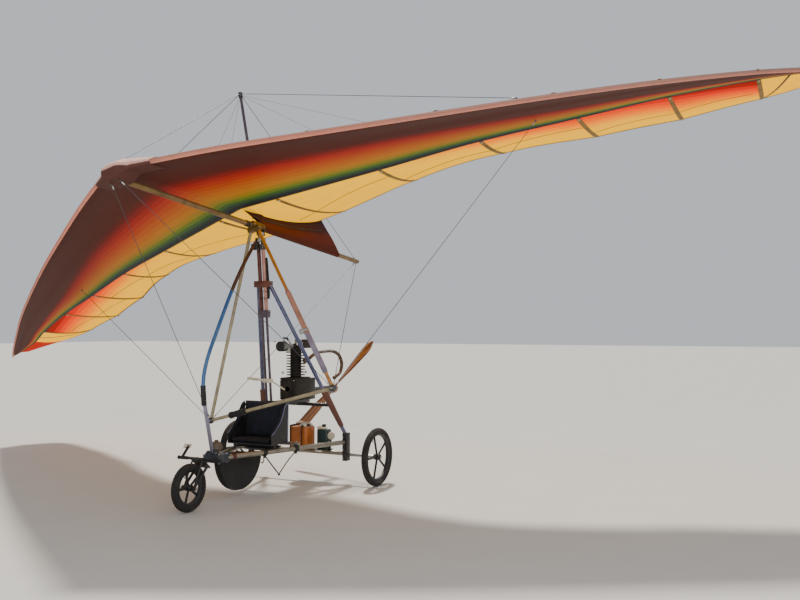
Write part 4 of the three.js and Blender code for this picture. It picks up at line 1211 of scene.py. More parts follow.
@dataclass
class Seat:
    """The bucket seat: a thin shell with a padded pan, back and sides."""

    half: float = 226.0
    low: float = 394.0
    channels: tuple[float, float] = (-66, 66)

    def build(self) -> None:
        """Makes the shell, the cushions and their piping."""
        self.shell()
        self.trim()
        pan = self.cushion("seat_pan", (-198, -838, 38), (198, -632, 62), turn(-2, "X"))
        back = self.cushion("seat_back", (-198, -643, 66), (198, -617, 362), turn(-4, "X"))
        for word, side in SIDES:
            bolster = Shape()
            outline = [(-834, 76), (-780, 132), (-712, 208), (-664, 302), (-622, 342)]
            line = smooth_path([(side * 213, y, self.low + z) for y, z in outline], 8)
            bolster.swept(line, lambda t: 13 + 4 * math.sin(math.pi * t), 20, (0.8, 1.5), (0, 1, 0))
            piece = self.upholstered(bolster, f"seat_side_{word}")

    def upholstered(self, shape: Shape, name: str) -> bpy.types.Object:
        """Makes a piece of the seat's cloth."""
        return shape.done(name, Body.TRIKE, Finishes.SEAT, slot="seat", replaces=("seat",))

    def shell(self) -> None:
        """The moulded shell under the cushions, with its flanged sides."""
        shape = Shape()
        low = self.low
        for low_x, high_x in ((-self.half, 8 - self.half), (self.half - 8, self.half)):
            side = Shape()
            corners = [(-842, 24), (-842, 100), (-780, 140), (-704, 216), (-652, 320), (-610, 344),
                       (-614, 24)]
            verts = [side.bm.verts.new((low_x, y, low + z)) for y, z in corners]
            face = side.bm.faces.new(verts)
            out = bmesh.ops.extrude_face_region(side.bm, geom=[face])["geom"]
            moved = [g for g in out if isinstance(g, bmesh.types.BMVert)]
            bmesh.ops.translate(side.bm, vec=(high_x - low_x, 0, 0), verts=moved)
            side.rounded(side.bm.edges[:], 3, 2)
            mesh = bpy.data.meshes.new("side")
            side.bm.to_mesh(mesh)
            side.bm.free()
            shape.bm.from_mesh(mesh)
            bpy.data.meshes.remove(mesh)
        shape.block((-219, -842, low + 22), (219, -636, low + 34), 4)
        shape.block((-219, -613, low + 30), (219, -602, low + 366), 4, turn(-4, "X"))
        shape.done("seat_shell", Body.TRIKE, Finishes.BLACK, slot="seat", replaces=("seat",))

    def trim(self) -> None:
        """Binding along the sides' edges, and the sling under the pan."""
        low = self.low
        edge = [(-608, 26), (-606, 200), (-604, 340), (-612, 354), (-652, 328), (-706, 222), (-782, 146),
                (-840, 108)]
        shape = Shape()
        for side in (-1, 1):
            line = smooth_path([(side * (self.half + 1), y, low + z) for y, z in edge])
            shape.swept(line, 5, up=(0, 1, 0))
        shape.done("seat_binding", Body.TRIKE, Finishes.BINDING, slot="seat")

        def slung(u: float, v: float) -> Point:
            """Point of the sling, deepest in its middle."""
            sag = 34 * math.sin(math.pi * v) * math.cos((u - 0.5) * 1.2)
            return (u - 0.5) * 330, -842 + 240 * v, low - 2 - sag

        shape = Shape()
        shape.sheet(14, 14, slung)
        obj = shape.done("seat_sling", Body.TRIKE, Finishes.BAG, slot="seat", crease=80)

    def cushion(self, name: str, low: Point, high: Point, spin: Matrix) -> bpy.types.Object:
        """A cushion blown up from a rounded block, with two sewn channels pressed in.

        Args:
            name: the piece's name.
            low: its low corner, heights from the seat's underside.
            high: its high corner.
            spin: its turn about its own middle.
        Returns:
            The finished cushion.
        """
        shape, lift = Shape(), Vector((0, 0, self.low))
        shape.block(Vector(low) + lift, Vector(high) + lift, 9, spin)
        obj = self.upholstered(shape, name)
        swell(obj, 9)
        back, width, depth = TRIKE.inverted(), 7, 4.0
        for vert in obj.data.vertices:
            across = (back @ vert.co).x
            press = sum(math.exp(-(((across - line) / width) ** 2)) for line in self.channels)
            vert.co -= vert.normal * press * depth * MM
        return obj


def everything(bm: bmesh.types.BMesh) -> list[bmesh.types.BMVert | bmesh.types.BMEdge | bmesh.types.BMFace]:
    """Every point, edge and face of a mesh."""
    return [*bm.verts, *bm.edges, *bm.faces]


@dataclass
class BellyBag:
    """The half-round bag under the nose, on its tray between the side tubes."""

    y: float = -985.0
    z: float = 346.0
    radius: float = 272.0
    half: float = 34.0

    def build(self) -> None:
        """Makes the bag, its piping and zip, its straps and its tray."""
        self.bag()
        self.trim()
        shape = Shape()
        shape.copied("belly_bag", 0)
        cut = bmesh.ops.bisect_plane(
            shape.bm, geom=everything(shape.bm), plane_co=(0, 0, (self.z + 1) * MM), plane_no=(0, 0, 1),
            clear_inner=True,
        )
        rim = [g for g in cut["geom_cut"] if isinstance(g, bmesh.types.BMEdge)]
        bmesh.ops.holes_fill(shape.bm, edges=rim)
        shape.done("bag_tray", Body.TRIKE, Finishes.BLACK, Matrix.Identity(4), "bag", ("belly_bag",))

    def bag(self) -> None:
        """A soft half-disc, fuller in the middle of its sides and slack along its curve."""
        shape = Shape()
        bm = shape.bm
        bmesh.ops.create_circle(bm, cap_ends=True, segments=64, radius=self.radius)
        bmesh.ops.bisect_plane(
            bm, geom=everything(bm), plane_co=(0, 0, 0), plane_no=(0, 1, 0), clear_outer=True,
        )
        bmesh.ops.inset_region(bm, faces=bm.faces[:], thickness=10, use_even_offset=True)
        for _ in range(5):
            inner = max(bm.faces, key=lambda f: len(f.verts))
            bmesh.ops.inset_region(bm, faces=[inner], thickness=self.radius / 8, use_even_offset=True)
        out = bmesh.ops.extrude_face_region(bm, geom=bm.faces[:])["geom"]
        moved = [g for g in out if isinstance(g, bmesh.types.BMVert)]
        for vert in bm.verts:
            vert.co.z = -self.half
        for vert in moved:
            vert.co.z = self.half
        walls = [e for e in bm.edges if abs(e.verts[0].co.z - e.verts[1].co.z) > self.half]
        bmesh.ops.subdivide_edges(bm, edges=walls, cuts=5)
        bmesh.ops.recalc_face_normals(bm, faces=bm.faces)
        for vert in bm.verts:
            across, down = vert.co.x, vert.co.y
            edge = min(1.0, (self.radius - math.hypot(across, down)) / 60, -down / 40 + 0.3)
            puff = 9 * math.sin(max(0.0, edge) * math.pi / 2)
            ripple = 2.2 * noise.noise(Vector((across, down, vert.co.z)) / 55)
            side = 1 if vert.co.z > 0 else -1
            if abs(vert.co.z) > self.half - 1:
                vert.co.z += side * (puff - 6) + ripple
            else:
                droop = 4 * math.cos(vert.co.z / self.half * math.pi / 2)
                vert.co.y -= droop - 3 + ripple * 0.5
        upright = Matrix(((0, 0, 1, 0), (1, 0, 0, 0), (0, 1, 0, 0), (0, 0, 0, 1)))
        place = TRIKE @ (Matrix.Translation((0, self.y, self.z)) @ upright)
        obj = shape.done("belly_bag_cloth", Body.TRIKE, Finishes.BAG, place, "bag", ("belly_bag",), crease=60)

    def arc(self, radius: float, x: float, start: float, end: float) -> list[Vector]:
        """Points of the bag's curve between two angles in degrees."""
        angles = [math.radians(start + (end - start) * i / 40) for i in range(41)]
        return [Vector((x, self.y + radius * math.cos(a), self.z + radius * math.sin(a))) for a in angles]

    def trim(self) -> None:
        """Piping along both seams, a zip along the curve, and two webbing straps."""
        shape = Shape()
        for side in (-1, 1):
            shape.swept(self.arc(self.radius - 1, side * (self.half - 6), 184, 356), 3.4, 10, up=(1, 0, 0))
        self.trimming(shape, "bag_piping", Finishes.WEBBING)
        shape = Shape()
        shape.strap(self.arc(self.radius + 0.5, 0, 196, 320), 14, 3, (1, 0, 0))
        shape.block((-8, self.y + 205, self.z - 186), (8, self.y + 219, self.z - 170), 3)
        self.trimming(shape, "bag_zip", Finishes.BLACK)
        shape = Shape()
        for y in (-1016, -880):
            wide = side_tube_at(y).x
            places = ((2 - wide, -4), (-wide * 0.5, -7), (0, -8), (wide * 0.5, -7), (wide - 2, -4))
            shape.strap(smooth_path([(x, y, self.z + drop) for x, drop in places], 4), 24)
        self.trimming(shape, "bag_straps", Finishes.WEBBING)

    def trimming(self, shape: Shape, name: str, finish: Finish) -> None:
        """Makes a piece of the bag's trim."""
        shape.done(name, Body.TRIKE, finish, slot="bag", replaces=("belly_bag",))


@dataclass
class Engine:
    """Single-cylinder engine, carburettor, exhaust and belt drive on the mount."""

    exhaust_bends: tuple[tuple[float, float, float], ...] = (
        (54, -150, 1084), (112, -142, 1098), (160, -70, 1158), (171, 60, 1174),
        (171, 220, 1170), (171, 330, 1128), (171, 378, 1048), (171, 348, 968), (171, 262, 930),
    )
    intake_z: float = 1226
    low_pulley: tuple[float, float] = (SHAFT_Z, 58)
    high_pulley: tuple[float, float] = (890, 26)

    def build(self) -> None:
        """Makes every piece of the engine."""
        shroud = Second(Finishes.SILVER, lambda mid: mid.y > -79 or mid.z > 1249)
        for casting in (
            Casting("engine_mount", Finishes.BLACK, "dark_metal", 1.5),
            Casting("cylinder", Finishes.CAST, "engine", 0.8),
            Casting("cylinder_head", Finishes.CAST, "engine", 1.2, second=shroud),
            Casting("carburettor", Finishes.SILVER, "engine", 1.2),
            Casting("drive_housing", Finishes.BLACK, "dark_metal", 2.0),
        ):
            casting.build()
        self.crankcase()
        self.bolts()
        self.filter()
        self.belt()
        self.caps()
        self.exhaust()

    def crankcase(self) -> None:
        """Two cast halves with a flange, cooling ribs and a recoil starter."""
        shape = Shape()
        shape.block((-84, -284, 745), (84, -26, 944.8), 12)
        shape.block((-85, -164, 743.5), (85, -152, 944.8), 2)
        for i in range(6):
            z = 775 + i * 26
            for low, high in ((-85, -80), (80, 85)):
                shape.block((low, -276, z), (high, -176, z + 8), 1.5)
        starter = [(0, 0), (66, 0), (70, -3), (70, -16), (62, -21), (26, -22), (22, -26), (0, -26)]
        shape.turned(starter, (0, -258, 842), (0, 1, 0))
        shape.done("crankcase", Body.TRIKE, Finishes.CAST, slot="engine", replaces=("engine_block",))

    def bolts(self) -> None:
        """Head nuts, the bolts of crankcase, drive and mount, and the spark plug."""
        shape = Shape()
        for x in (-42, 42):
            for y in (-192, -108):
                shape.rod((x, y, 1228), (x, y, 1262), 5, sides=6, edge=0.6)
        for x in (-70, 70):
            for z in (770, 920):
                shape.bolt((x, -285, z), (0, -1, 0), 5)
        for x in (-54, 54):
            for z in (752, 912):
                shape.bolt((x, 70.3, z), (0, 1, 0), 5)
        for y in (-240, -70):
            for x in (-62, 62):
                shape.bolt((x, y, 713), (0, 0, -1), 5)
        shape.rod((-30, -188, 1246), (-46, -212, 1286), 9, sides=20)
        shape.done("engine_bolts", Body.TRIKE, Finishes.BRIGHT, slot="alloy")

    def filter(self) -> None:
        """Spark plug's cap, and the folds and lid of the carburettor's filter."""
        shape = Shape()
        shape.rod((-44, -209, 1280), (-52, -221, 1302), 10, 8, sides=20, edge=2)
        shape.rod((-50, -218, 1296), (-86, -226, 1300), 8, sides=20, edge=2)
        half = Vector((0, 34, 0))
        for angle in dials(26):
            mid = Vector((43 * math.cos(angle), -363, self.intake_z + 43 * math.sin(angle)))
            shape.rod(mid - half, mid + half, 2.4, sides=8, edge=0)
        lid = [(0, 0), (41, 0), (44.5, 2), (44.5, 8), (41, 10), (0, 10)]
        shape.turned(lid, (0, -405, self.intake_z), (0, 1, 0), 40)
        shape.done("filter_and_cap", Body.TRIKE, Finishes.VINYL, slot="dark_metal")

    def belt(self) -> None:
        """Two pulleys and the belt round them, behind the crankcase."""
        y, (low, wide), (high, narrow) = 82, self.low_pulley, self.high_pulley
        shape = Shape()
        for z, radius in (self.low_pulley, self.high_pulley):
            groove = radius - 5
            section = [(8, -9), (radius, -9), (groove, -4), (groove, 4), (radius, 9), (8, 9)]
            shape.turned(section, (0, y, z), (0, 1, 0), ring=True)
        shape.done("belt_pulleys", Body.TRIKE, Finishes.BRIGHT, slot="alloy")
        shape = Shape()
        line = []
        for angle in dials(48, 1):
            z, radius = (low, wide - 2) if math.sin(angle) < 0.35 else (high, narrow - 1)
            line.append((radius * math.cos(angle), y, z + radius * math.sin(angle)))
        shape.strap(line, 10, 5, (0, 1, 0))
        shape.done("drive_belt", Body.TRIKE, Finishes.VINYL, slot="dark_metal")

    def caps(self) -> None:
        """Bright caps of the breather, the tickler and the covers."""
        shape = Shape()
        caps = ((-62, -262, 985, 14), (72, -92, 986, 11), (-70, -380, 1268, 9), (150, -60, 1000, 10))
        for *spot, r in caps:
            shape.turned([(0, 0), (r, 0), (r, 5), (r * 0.6, 8), (0, 9)], spot, (0.5, -0.8, 0.2), 24)
        shape.done("bright_caps", Body.TRIKE, Finishes.BRIGHT, slot="alloy")

    def exhaust(self) -> None:
        """Bent pipe with a flange at the port and a flared end."""
        shape = Shape()
        line, radius, fins = smooth_path(self.exhaust_bends), 16, 88
        shape.swept([p for p in line if math.hypot(p.x, p.y - CYLINDER_Y) > fins], radius, 24)
        shape.turned(ring_profile(radius, 28, 4), (91, -147, 1091), (58, 8, 14), 32, ring=True)
        tail = Vector(self.exhaust_bends[-1])
        shape.rod(tail, tail + Vector((0, -22, -10)), 17.5, 19, sides=28)
        obj = shape.done("exhaust_pipe", Body.TRIKE, Finishes.RUST, slot="dark_metal", replaces=("exhaust",))
        Second(Finishes.SILVER, lambda mid: mid.z > 1176).apply(obj)


@dataclass
class Fuel:
    """Tank, oil bottle and the small vessels on the tray."""

    def build(self) -> None:
        """Makes the tank and what stands beside it."""
        for casting in (
            Casting("tank_tray", Finishes.TUBE, "alloy", 0.8, crease=30),
            Casting("fuel_tank", Finishes.FUEL_CAN, "tank", crease=30),
            Casting("oil_bottle", Finishes.TEAL, "bottle", crease=30),
        ):
            casting.build()
        shape = Shape()
        self.cap(shape, (44, -85, 494), 29, 24)
        handle = [(-74, -20, 494), (-70, -20, 512), (-40, -22, 522), (20, -24, 520), (80, -26, 514),
                  (92, -26, 494)]
        shape.swept(smooth_path(handle), 8, 16, (1.2, 0.8), (0, 1, 0))
        jar = [(0, 0), (24, 0), (26, 3), (26, 22), (16, 32), (0, 32)]
        shape.turned(jar, (168, 0, 468), (0, 0, 1), 40)
        shape.block((190, -24, 468), (236, 18, 486), 5)
        disc = [(0, -14), (24, -14), (33, -8), (35, 0), (33, 8), (24, 14), (0, 14)]
        shape.turned(disc, (283, 6, 412), (0.45, -0.88, 0.1), 40)
        shape.done("caps_and_jar", Body.TRIKE, Finishes.IVORY, slot="bottle")
        shape = Shape()
        self.cap(shape, (200, 18, 497), 19, 14)
        shape.rod((283, 6, 380), (262, 10, 288), 7, sides=16)
        shape.block((240, -6, 281), (284, 26, 292), 3)
        shape.done("stand_and_cap", Body.TRIKE, Finishes.VINYL, slot="dark_metal")
        shape = Shape()
        for x in (-62, 60):
            line = [(x, -138, 290), (x, -138, 480), (x, -128, 496), (x, 20, 496), (x, 28, 480), (x, 28, 290)]
            shape.strap(smooth_path(line, 5), 24, 2, (1, 0, 0))
        shape.done("tank_straps", Body.TRIKE, Finishes.WEBBING, slot="bag")

    def cap(self, shape: Shape, at: Point, radius: float, height: float) -> None:
        """A screw cap with grip ribs."""
        section = [(0, 0), (radius, 0), (radius, height - 3), (radius - 3, height), (0, height)]
        shape.turned(section, at, (0, 0, 1), 40)
        for angle in dials(20):
            foot = Vector(at) + Vector((radius * math.cos(angle), radius * math.sin(angle), 2))
            shape.rod(foot, foot + Vector((0, 0, height - 6)), 1.6, sides=8, edge=0)


@dataclass
class Airscrew:
    """Two-bladed laminated propeller with its hub plate and bolts."""

    def build(self) -> None:
        """Makes the blades, the shaft, the hub plate and the bolts."""
        Casting("propeller", Finishes.WOOD, "wood", 0, Body.PROPELLER, 50).build()
        Casting("propeller_shaft", Finishes.BRIGHT, "alloy", 0.8, Body.PROPELLER, 50).build()
        shape = Shape()
        shape.turned([(0, 22), (34, 22), (36, 24), (36, 28), (30, 30), (0, 30)], axis=(0, 1, 0))
        for angle in dials(6):
            shape.bolt((25 * math.cos(angle), 29.5, 25 * math.sin(angle)), (0, 1, 0), 4.5)
        shape.done("hub_plate", Body.PROPELLER, Finishes.BRIGHT, AIRSCREW, "alloy")


# The sail's sections by span: distance out, then leading edge, end of the double surface and
# trailing edge aft of the nose, and the heights of those three above it.
SECTIONS = (
    (0, 0, 1500, 2830, 0, 90, 290), (600, 336, 1680, 2720, 34, 110, 262),
    (1200, 685, 1880, 2610, 43, 140, 255), (1900, 1110, 2150, 2790, 58, 195, 290),
    (2700, 1640, 2480, 3240, 92, 225, 310), (3400, 2120, 2740, 3560, 112, 238, 320),
    (4070, 2610, 3030, 3790, 118, 235, 345), (4440, 2880, 3220, 3800, 96, 225, 330),
    (4670, 3055, 3200, 3420, 74, 150, 220),
)
SPAN = 4670.0
YELLOW_END, TIP_START = 4070, 4440
DOUBLE_END = ((0, -0.35), (1200, -0.05), (1500, 0.14), (2200, 0.36), (3000, 0.5), (3700, 0.66), (4400, 0.8))
BORDER = ((0, 0.34), (1500, 0.35), (2200, 0.43), (3000, 0.54), (3700, 0.62), (SPAN, 0.68))
APEX_Y, APEX_Z = -1738.0, 80.0


class Skin(Enum):
    """The two skins of the double surface."""

    UNDER = 0
    TOP = 1


def along_span(out: float, column: int) -> float:
    """One column of the sail's sections at a distance out, by a smooth curve through them."""
    last = len(SECTIONS) - 1
    i = 0
    while i < last - 1 and out > SECTIONS[i + 1][0]:
        i += 1

    def slope(k: int) -> float:
        a, b = SECTIONS[max(k - 1, 0)], SECTIONS[min(k + 1, last)]
        return (b[column] - a[column]) / (b[0] - a[0])

    a, b = SECTIONS[i], SECTIONS[i + 1]
    reach = b[0] - a[0]
    t = (out - a[0]) / reach
    rise = a[column] * (1 + 2 * t) * (1 - t) ** 2 + b[column] * t * t * (3 - 2 * t)
    return rise + reach * (slope(i) * t * (1 - t) ** 2 - slope(i + 1) * t * t * (1 - t))


def lerp_table(x: float, table: Sequence[tuple[float, float]]) -> float:
    """Straight-line value of a table at x."""
    for (x0, y0), (x1, y1) in zip(table, table[1:]):
        if x <= x1:
            return y0 + (y1 - y0) * max(0.0, (x - x0) / (x1 - x0))
    return table[-1][1]


@dataclass
class Sail:
    """The sail: one striped cloth that wraps the leading edge, its battens, tapes and keel pocket."""

    pocket: float = 122.0
    reflex: float = 2.3
    edge_radius: float = 17.0
    battens: tuple[float, ...] = (300, 1150, 1950, 2700, 3400, 4070)
    lobe: float = 22.0

    def double(self, out: float, t: float, skin: Skin) -> Vector:
        """Point of the double surface, from the leading edge, t 0, to its end, t 1."""
        lead, under, _, lead_z, under_z, _ = (along_span(out, c) for c in range(1, 7))
        z = lead_z + t * (under_z - lead_z)
        if skin is Skin.TOP:
            taper = 1 - 0.7 * (out / SPAN) ** 2
            z += 5 + self.pocket * taper * math.sqrt(t + 0.02) * (1 - t) * 1.9
        else:
            z += 1 + 10 * math.sin(math.pi * t) * math.sin(math.pi * min(1.0, t * 3))
        return Vector((out, APEX_Y + lead + t * (under - lead), APEX_Z + z))

    def single(self, out: float, t: float) -> Vector:
        """Point of the single surface, from the double surface's end, t 0, to the trailing edge, t 1."""
        _, under, trail, _, under_z, trail_z = (along_span(out, c) for c in range(1, 7))
        z = under_z + t ** self.reflex * (trail_z - under_z)
        lobe = 0.0
        for a, b in zip(self.battens, self.battens[1:]):
            if a < out < b:
                lobe = math.sin(math.pi * (out - a) / (b - a))
        y = under + t * (trail - under) - lobe * self.lobe * t
        return Vector((out, APEX_Y + y, APEX_Z + z + 5 + lobe * 14 * math.sin(math.pi * t)))

    def at(self, out: float, aft: float, skin: Skin) -> Vector:
        """Point of a skin at a distance aft of the nose."""
        lead, under, trail = (along_span(abs(out), column) for column in (1, 2, 3))
        if aft < under:
            point = self.double(abs(out), (aft - lead) / (under - lead), skin)
        else:
            point = self.single(abs(out), (aft - under) / (trail - under))
        return Vector((out, point.y, point.z))

    def wrap(self, out: float, s: float) -> Vector:
        """Point of the whole cloth: s -1 at the underside's rear edge, 0 at the leading edge, 1 where
        the two skins meet on top, and 2 at the trailing edge."""
        if s > 1:
            return self.single(out, s - 1)
        bend = 0.03
        if abs(s) > bend:
            t = (abs(s) - bend) / (1 - bend)
            point = self.double(out, t, Skin.TOP if s > 0 else Skin.UNDER)
            point.y += self.edge_radius * (1 - t) ** 8
            return point
        low, high = self.double(out, 0, Skin.UNDER), self.double(out, 0, Skin.TOP)
        angle = s / bend * math.pi / 2
        middle, half = (low + high) / 2, (high - low).length / 2
        forward = self.edge_radius * math.cos(angle)
        return middle + Vector((0, self.edge_radius - forward, half * math.sin(angle)))

    def under_band(self, out: float, t: float) -> float:
        """Place in the underside's stripes, whose brown border widens towards the tip."""
        border = lerp_table(out, BORDER)
        if t < border:
            return 0.34 * t / border
        return 0.34 + 0.66 * (t - border) / (1 - border)

    def top_band(self, out: float, s: float) -> float:
        """Place in the top's stripes: a painted highlight of pale pink along the leading edge, then brown to
        yellow by the distance from the double surface's end, further aft towards the tip."""
        # Painted highlight: the front of the top skin takes the pale pink stop.
        if s < 0.2:
            return 0.1
        start = lerp_table(out, DOUBLE_END)
        place = s - 1 if s > 1 else (s - 1) * 0.8
        return max(0.2, min(1.0, 0.84 + (place - start) * 0.62))

    def build(self) -> None:
        """Makes the cloth, the battens and tapes, the nose cover and the keel pocket."""
        self.cloth()
        self.tapes()
        self.ends()
        self.nose_cover()
        self.keel_pocket()

    def cloth(self) -> None:
        """The striped cloth, tip to tip in one sheet."""
        tip_rows = [YELLOW_END, 4130, 4255, 4380, TIP_START, 4500, 4570, 4630, SPAN]
        rows = [0, 150, *range(300, 4001, 106), *tip_rows]
        outs = [-out for out in reversed(rows[1:])] + rows
        marks = [-1 + 0.92 * i / 30 for i in range(31)]
        marks += [-0.03 + 0.06 * i / 8 for i in range(9)]
        marks += [0.05 + 0.95 * (i / 28) ** 1.2 for i in range(1, 29)]
        marks += [1 + i / 30 for i in range(1, 31)]
        shape = Shape()
        band = shape.bm.verts.layers.float.new("band")
        row = shape.bm.verts.layers.float.new("row")
        verts = shape.sheet(len(outs) - 1, len(marks) - 1, lambda u, v: (u, v, 0))
        for vert in verts:
            out = outs[round(vert.co.x * (len(outs) - 1))]
            s = marks[round(vert.co.y * (len(marks) - 1))]
            vert[row] = s
            vert[band] = self.under_band(abs(out), -s) if s < -0.02 else self.top_band(abs(out), s)
            point = self.wrap(abs(out), s)
            vert.co = Vector((out, point.y, point.z))
        for face in shape.bm.faces:
            out = abs(face.calc_center_median().x)
            rows = [vert[row] for vert in face.verts]
            if max(rows) < -0.029:
                face.material_index = 1
            elif min(rows) > 0.999 and out > YELLOW_END:
                face.material_index = 2 if out < TIP_START else 3
        obj = shape.done(
            "sail_cloth", Body.WING, Finishes.TOP, WING, "sail", ("sail_port", "sail_starboard"),
            recalc=False, crease=70,
        )
        for finish in (Finishes.UNDER, Finishes.YELLOW, Finishes.TIP):
            obj.data.materials.append(Finishes.of(finish))

    def on_cloth(self, out: float, s: float, lift: float) -> Vector:
        """Point of the cloth at a signed distance out, raised or sunk by a lift."""
        point = self.wrap(abs(out), s)
        return Vector((out, point.y, point.z + lift))

    def line(self, start: Point, end: Point, steps: int, lift: float) -> list[Vector]:
        """A line on the cloth between two places, each a signed distance out and a share s."""
        (out, s), (far, last) = start, end
        shares = [i / steps for i in range(steps + 1)]
        return [self.on_cloth(out + (far - out) * t, s + (last - s) * t, lift) for t in shares]

    def tapes(self) -> None:
        """Batten pockets below and above, the hems, the thin seams, and a dark diagonal strip on each tip."""
        below, above, seams, hems, dark = Shape(), Shape(), Shape(), Shape(), Shape()
        for side in (-1, 1):
            for out in self.battens:
                below.strap(self.line((side * out, 1.02), (side * out, 2), 16, -3), 34, 5)
                above.strap(self.line((side * out, 0.1), (side * out, 2), 32, 3), 24, 7)
            for start, end in (
                ((60, 1.62), (1150, 1.28)), ((1150, 1.62), (2700, 1.34)), ((2700, 1.66), (4000, 1.5)),
            ):
                seams.strap(self.line((side * start[0], start[1]), (side * end[0], end[1]), 20, -1.5), 9, 2)
            hems.strap(self.line((0, 1.985), (side * SPAN, 1.985), 90, 0), 22, 3, (0, 0, 1))
            dark.strap(self.line((0, -0.985), (side * SPAN, -0.985), 90, -1), 16, 3, (0, 0, 1))
            # A dark diagonal strip on each tip, from near the last batten's rear end forward across the tip.
            dark.strap(self.line((side * 4078, 1.93), (side * 4300, 1.02), 12, -4), 22, 3, (0, 0, 1))
        below.done("batten_pockets_below", Body.WING, Finishes.POCKET, WING, "sail")
        above.done("batten_pockets_above", Body.WING, Finishes.POCKET, WING, "sail")
        seams.done("seam_tapes", Body.WING, Finishes.SEAM, WING, "sail")
        hems.done("sail_hems", Body.WING, Finishes.POCKET, WING, "sail")
        dark.done("dark_hems_and_tip_strips", Body.WING, Finishes.WEBBING, WING, "sail")

    def ends(self) -> None:
        """Batten end caps past the trailing edge, their front nubs and the leading edges' end caps."""
        shape = Shape()
        for side in (-1, 1):
            for out in self.battens:
                tail = self.on_cloth(side * out, 2, 0)
                ahead = self.on_cloth(side * out, 1.9, 0)
                way = (tail - ahead).normalized()
                shape.rod(tail - way * 30, tail + way * 18, 8, sides=16, edge=1.5)
                shape.rod(tail + way * 6, tail + way * 14, 12, sides=16, edge=1.5)
                front = self.on_cloth(side * out, 1.03, -7)
                shape.rod(front, front + way * 34, 8, 5, sides=16, edge=1.5)
            tip = self.on_cloth(side * 4660, 0, 0)
            low, high = tip + Vector((-side * 50, -20, 2)), tip + Vector((side * 4, 22, 4))
            shape.rod(low, high, 16, 14, edge=4)
        shape.done("batten_ends", Body.WING, Finishes.IVORY, WING, "sail")

    def nose_cover(self) -> None:
        """Cloth cap over the nose, round the plate and the keel's end: brown below, with a painted highlight
        of pale pink on top.
        """
        shape = Shape()
        band = shape.bm.verts.layers.float.new("band")
        half, low, front, rear = 250.0, 24.0, -1738.0, -1566.0
        below, above = 0.13, 0.22
        for vert in shape.sheet(40, 44, lambda u, v: (u, v, 0)):
            out = (vert.co.x - 0.5) * 2 * half
            s = vert.co.y * (below + above) - below
            reach = min(1.0, max(0.0, (112 - abs(out)) / 60))
            weight = reach * reach * (3 - 2 * reach)
            edge = self.on_cloth(out, 0, 0)
            # Painted highlight: the top half takes the pale pink, the underside the brown cloth.
            vert[band] = 0.8 if s > 0 else 0.1
            if s < 0:
                cloth, share = self.on_cloth(out, s, -4), -s / below
                wall = min(1.0, share / 0.25)
                floor = max(0.0, (share - 0.25) / 0.75)
                boxed = Vector((out, front + floor * (rear - front), edge.z + wall * (low - edge.z)))
                point = cloth.lerp(boxed, weight)
            else:
                point = self.on_cloth(out, s, 4)
                point.y += weight * (front - edge.y) * (1 - s / above) ** 2
                spread = 1 - (out / half) ** 2
                point.z += 34 * spread * math.sin(math.pi * min(1.0, s / above * 1.1)) ** 0.7
            crinkle = noise.noise(Vector((out / 26, s * 24, 3.0))) * (7 if s > 0 else 2.5)
            point.z += crinkle
            vert.co = point
        obj = shape.done("nose_cover", Body.WING, Finishes.NOSE_CLOTH, WING, "sail", recalc=False, crease=80)

    def keel_pocket(self) -> None:
        """The deep pocket under the sail: one cloth that hangs from it, passes under the keel and
        comes up again, open in front and behind."""
        shape = Shape()
        band = shape.bm.verts.layers.float.new("band")
        keel_z, round_keel, at_sail = 55.0, 24.8, 4.0
        for vert in shape.sheet(44, 40, lambda u, v: (u, v, 0)):
            u, side = vert.co.x, (1 if vert.co.y < 0.5 else -1)
            rise = abs(vert.co.y - 0.5) * 2
            height = max(0.0, (rise - 0.3) / 0.7)
            ahead = 50 - 250 * max(0.0, (height - 0.32) / 0.68)
            y = ahead + u * (1300 - 208 * height - ahead)
            top = self.at(0, y - APEX_Y, Skin.UNDER).z - 3
            if rise < 0.3:
                angle = (rise / 0.3 - 1) * math.pi / 2
                x, z = round_keel * math.cos(angle), keel_z + round_keel * math.sin(angle)
            else:
                ease = height * height * (3 - 2 * height)
                x, z = round_keel + (at_sail - round_keel) * ease, keel_z + height * (top - keel_z)
                x = max(x, 21 * math.exp(-(((y - 16) / 60) ** 2)))
                x += 5 * math.sin(math.pi * height) * noise.noise(Vector((y / 170, z / 110, side)))
            vert[band] = height
            vert.co = Vector((side * x, y, z))
        obj = shape.done("keel_pocket", Body.WING, Finishes.MAROON, WING, "fin", ("keel_fin",), crease=80)
        shape = Shape()
        for side in (-1, 1):
            seam = []
            for i in range(41):
                y = -80 + i * 28.0
                top = self.at(0, y - APEX_Y, Skin.UNDER).z - 3
                seam.append((side * 15.5, y, keel_z + 0.66 * (top - keel_z)))
            shape.strap(seam, 7, 1.6, (1, 0, 0))
        shape.done("pocket_seam", Body.WING, Finishes.WEBBING, WING, "fin")


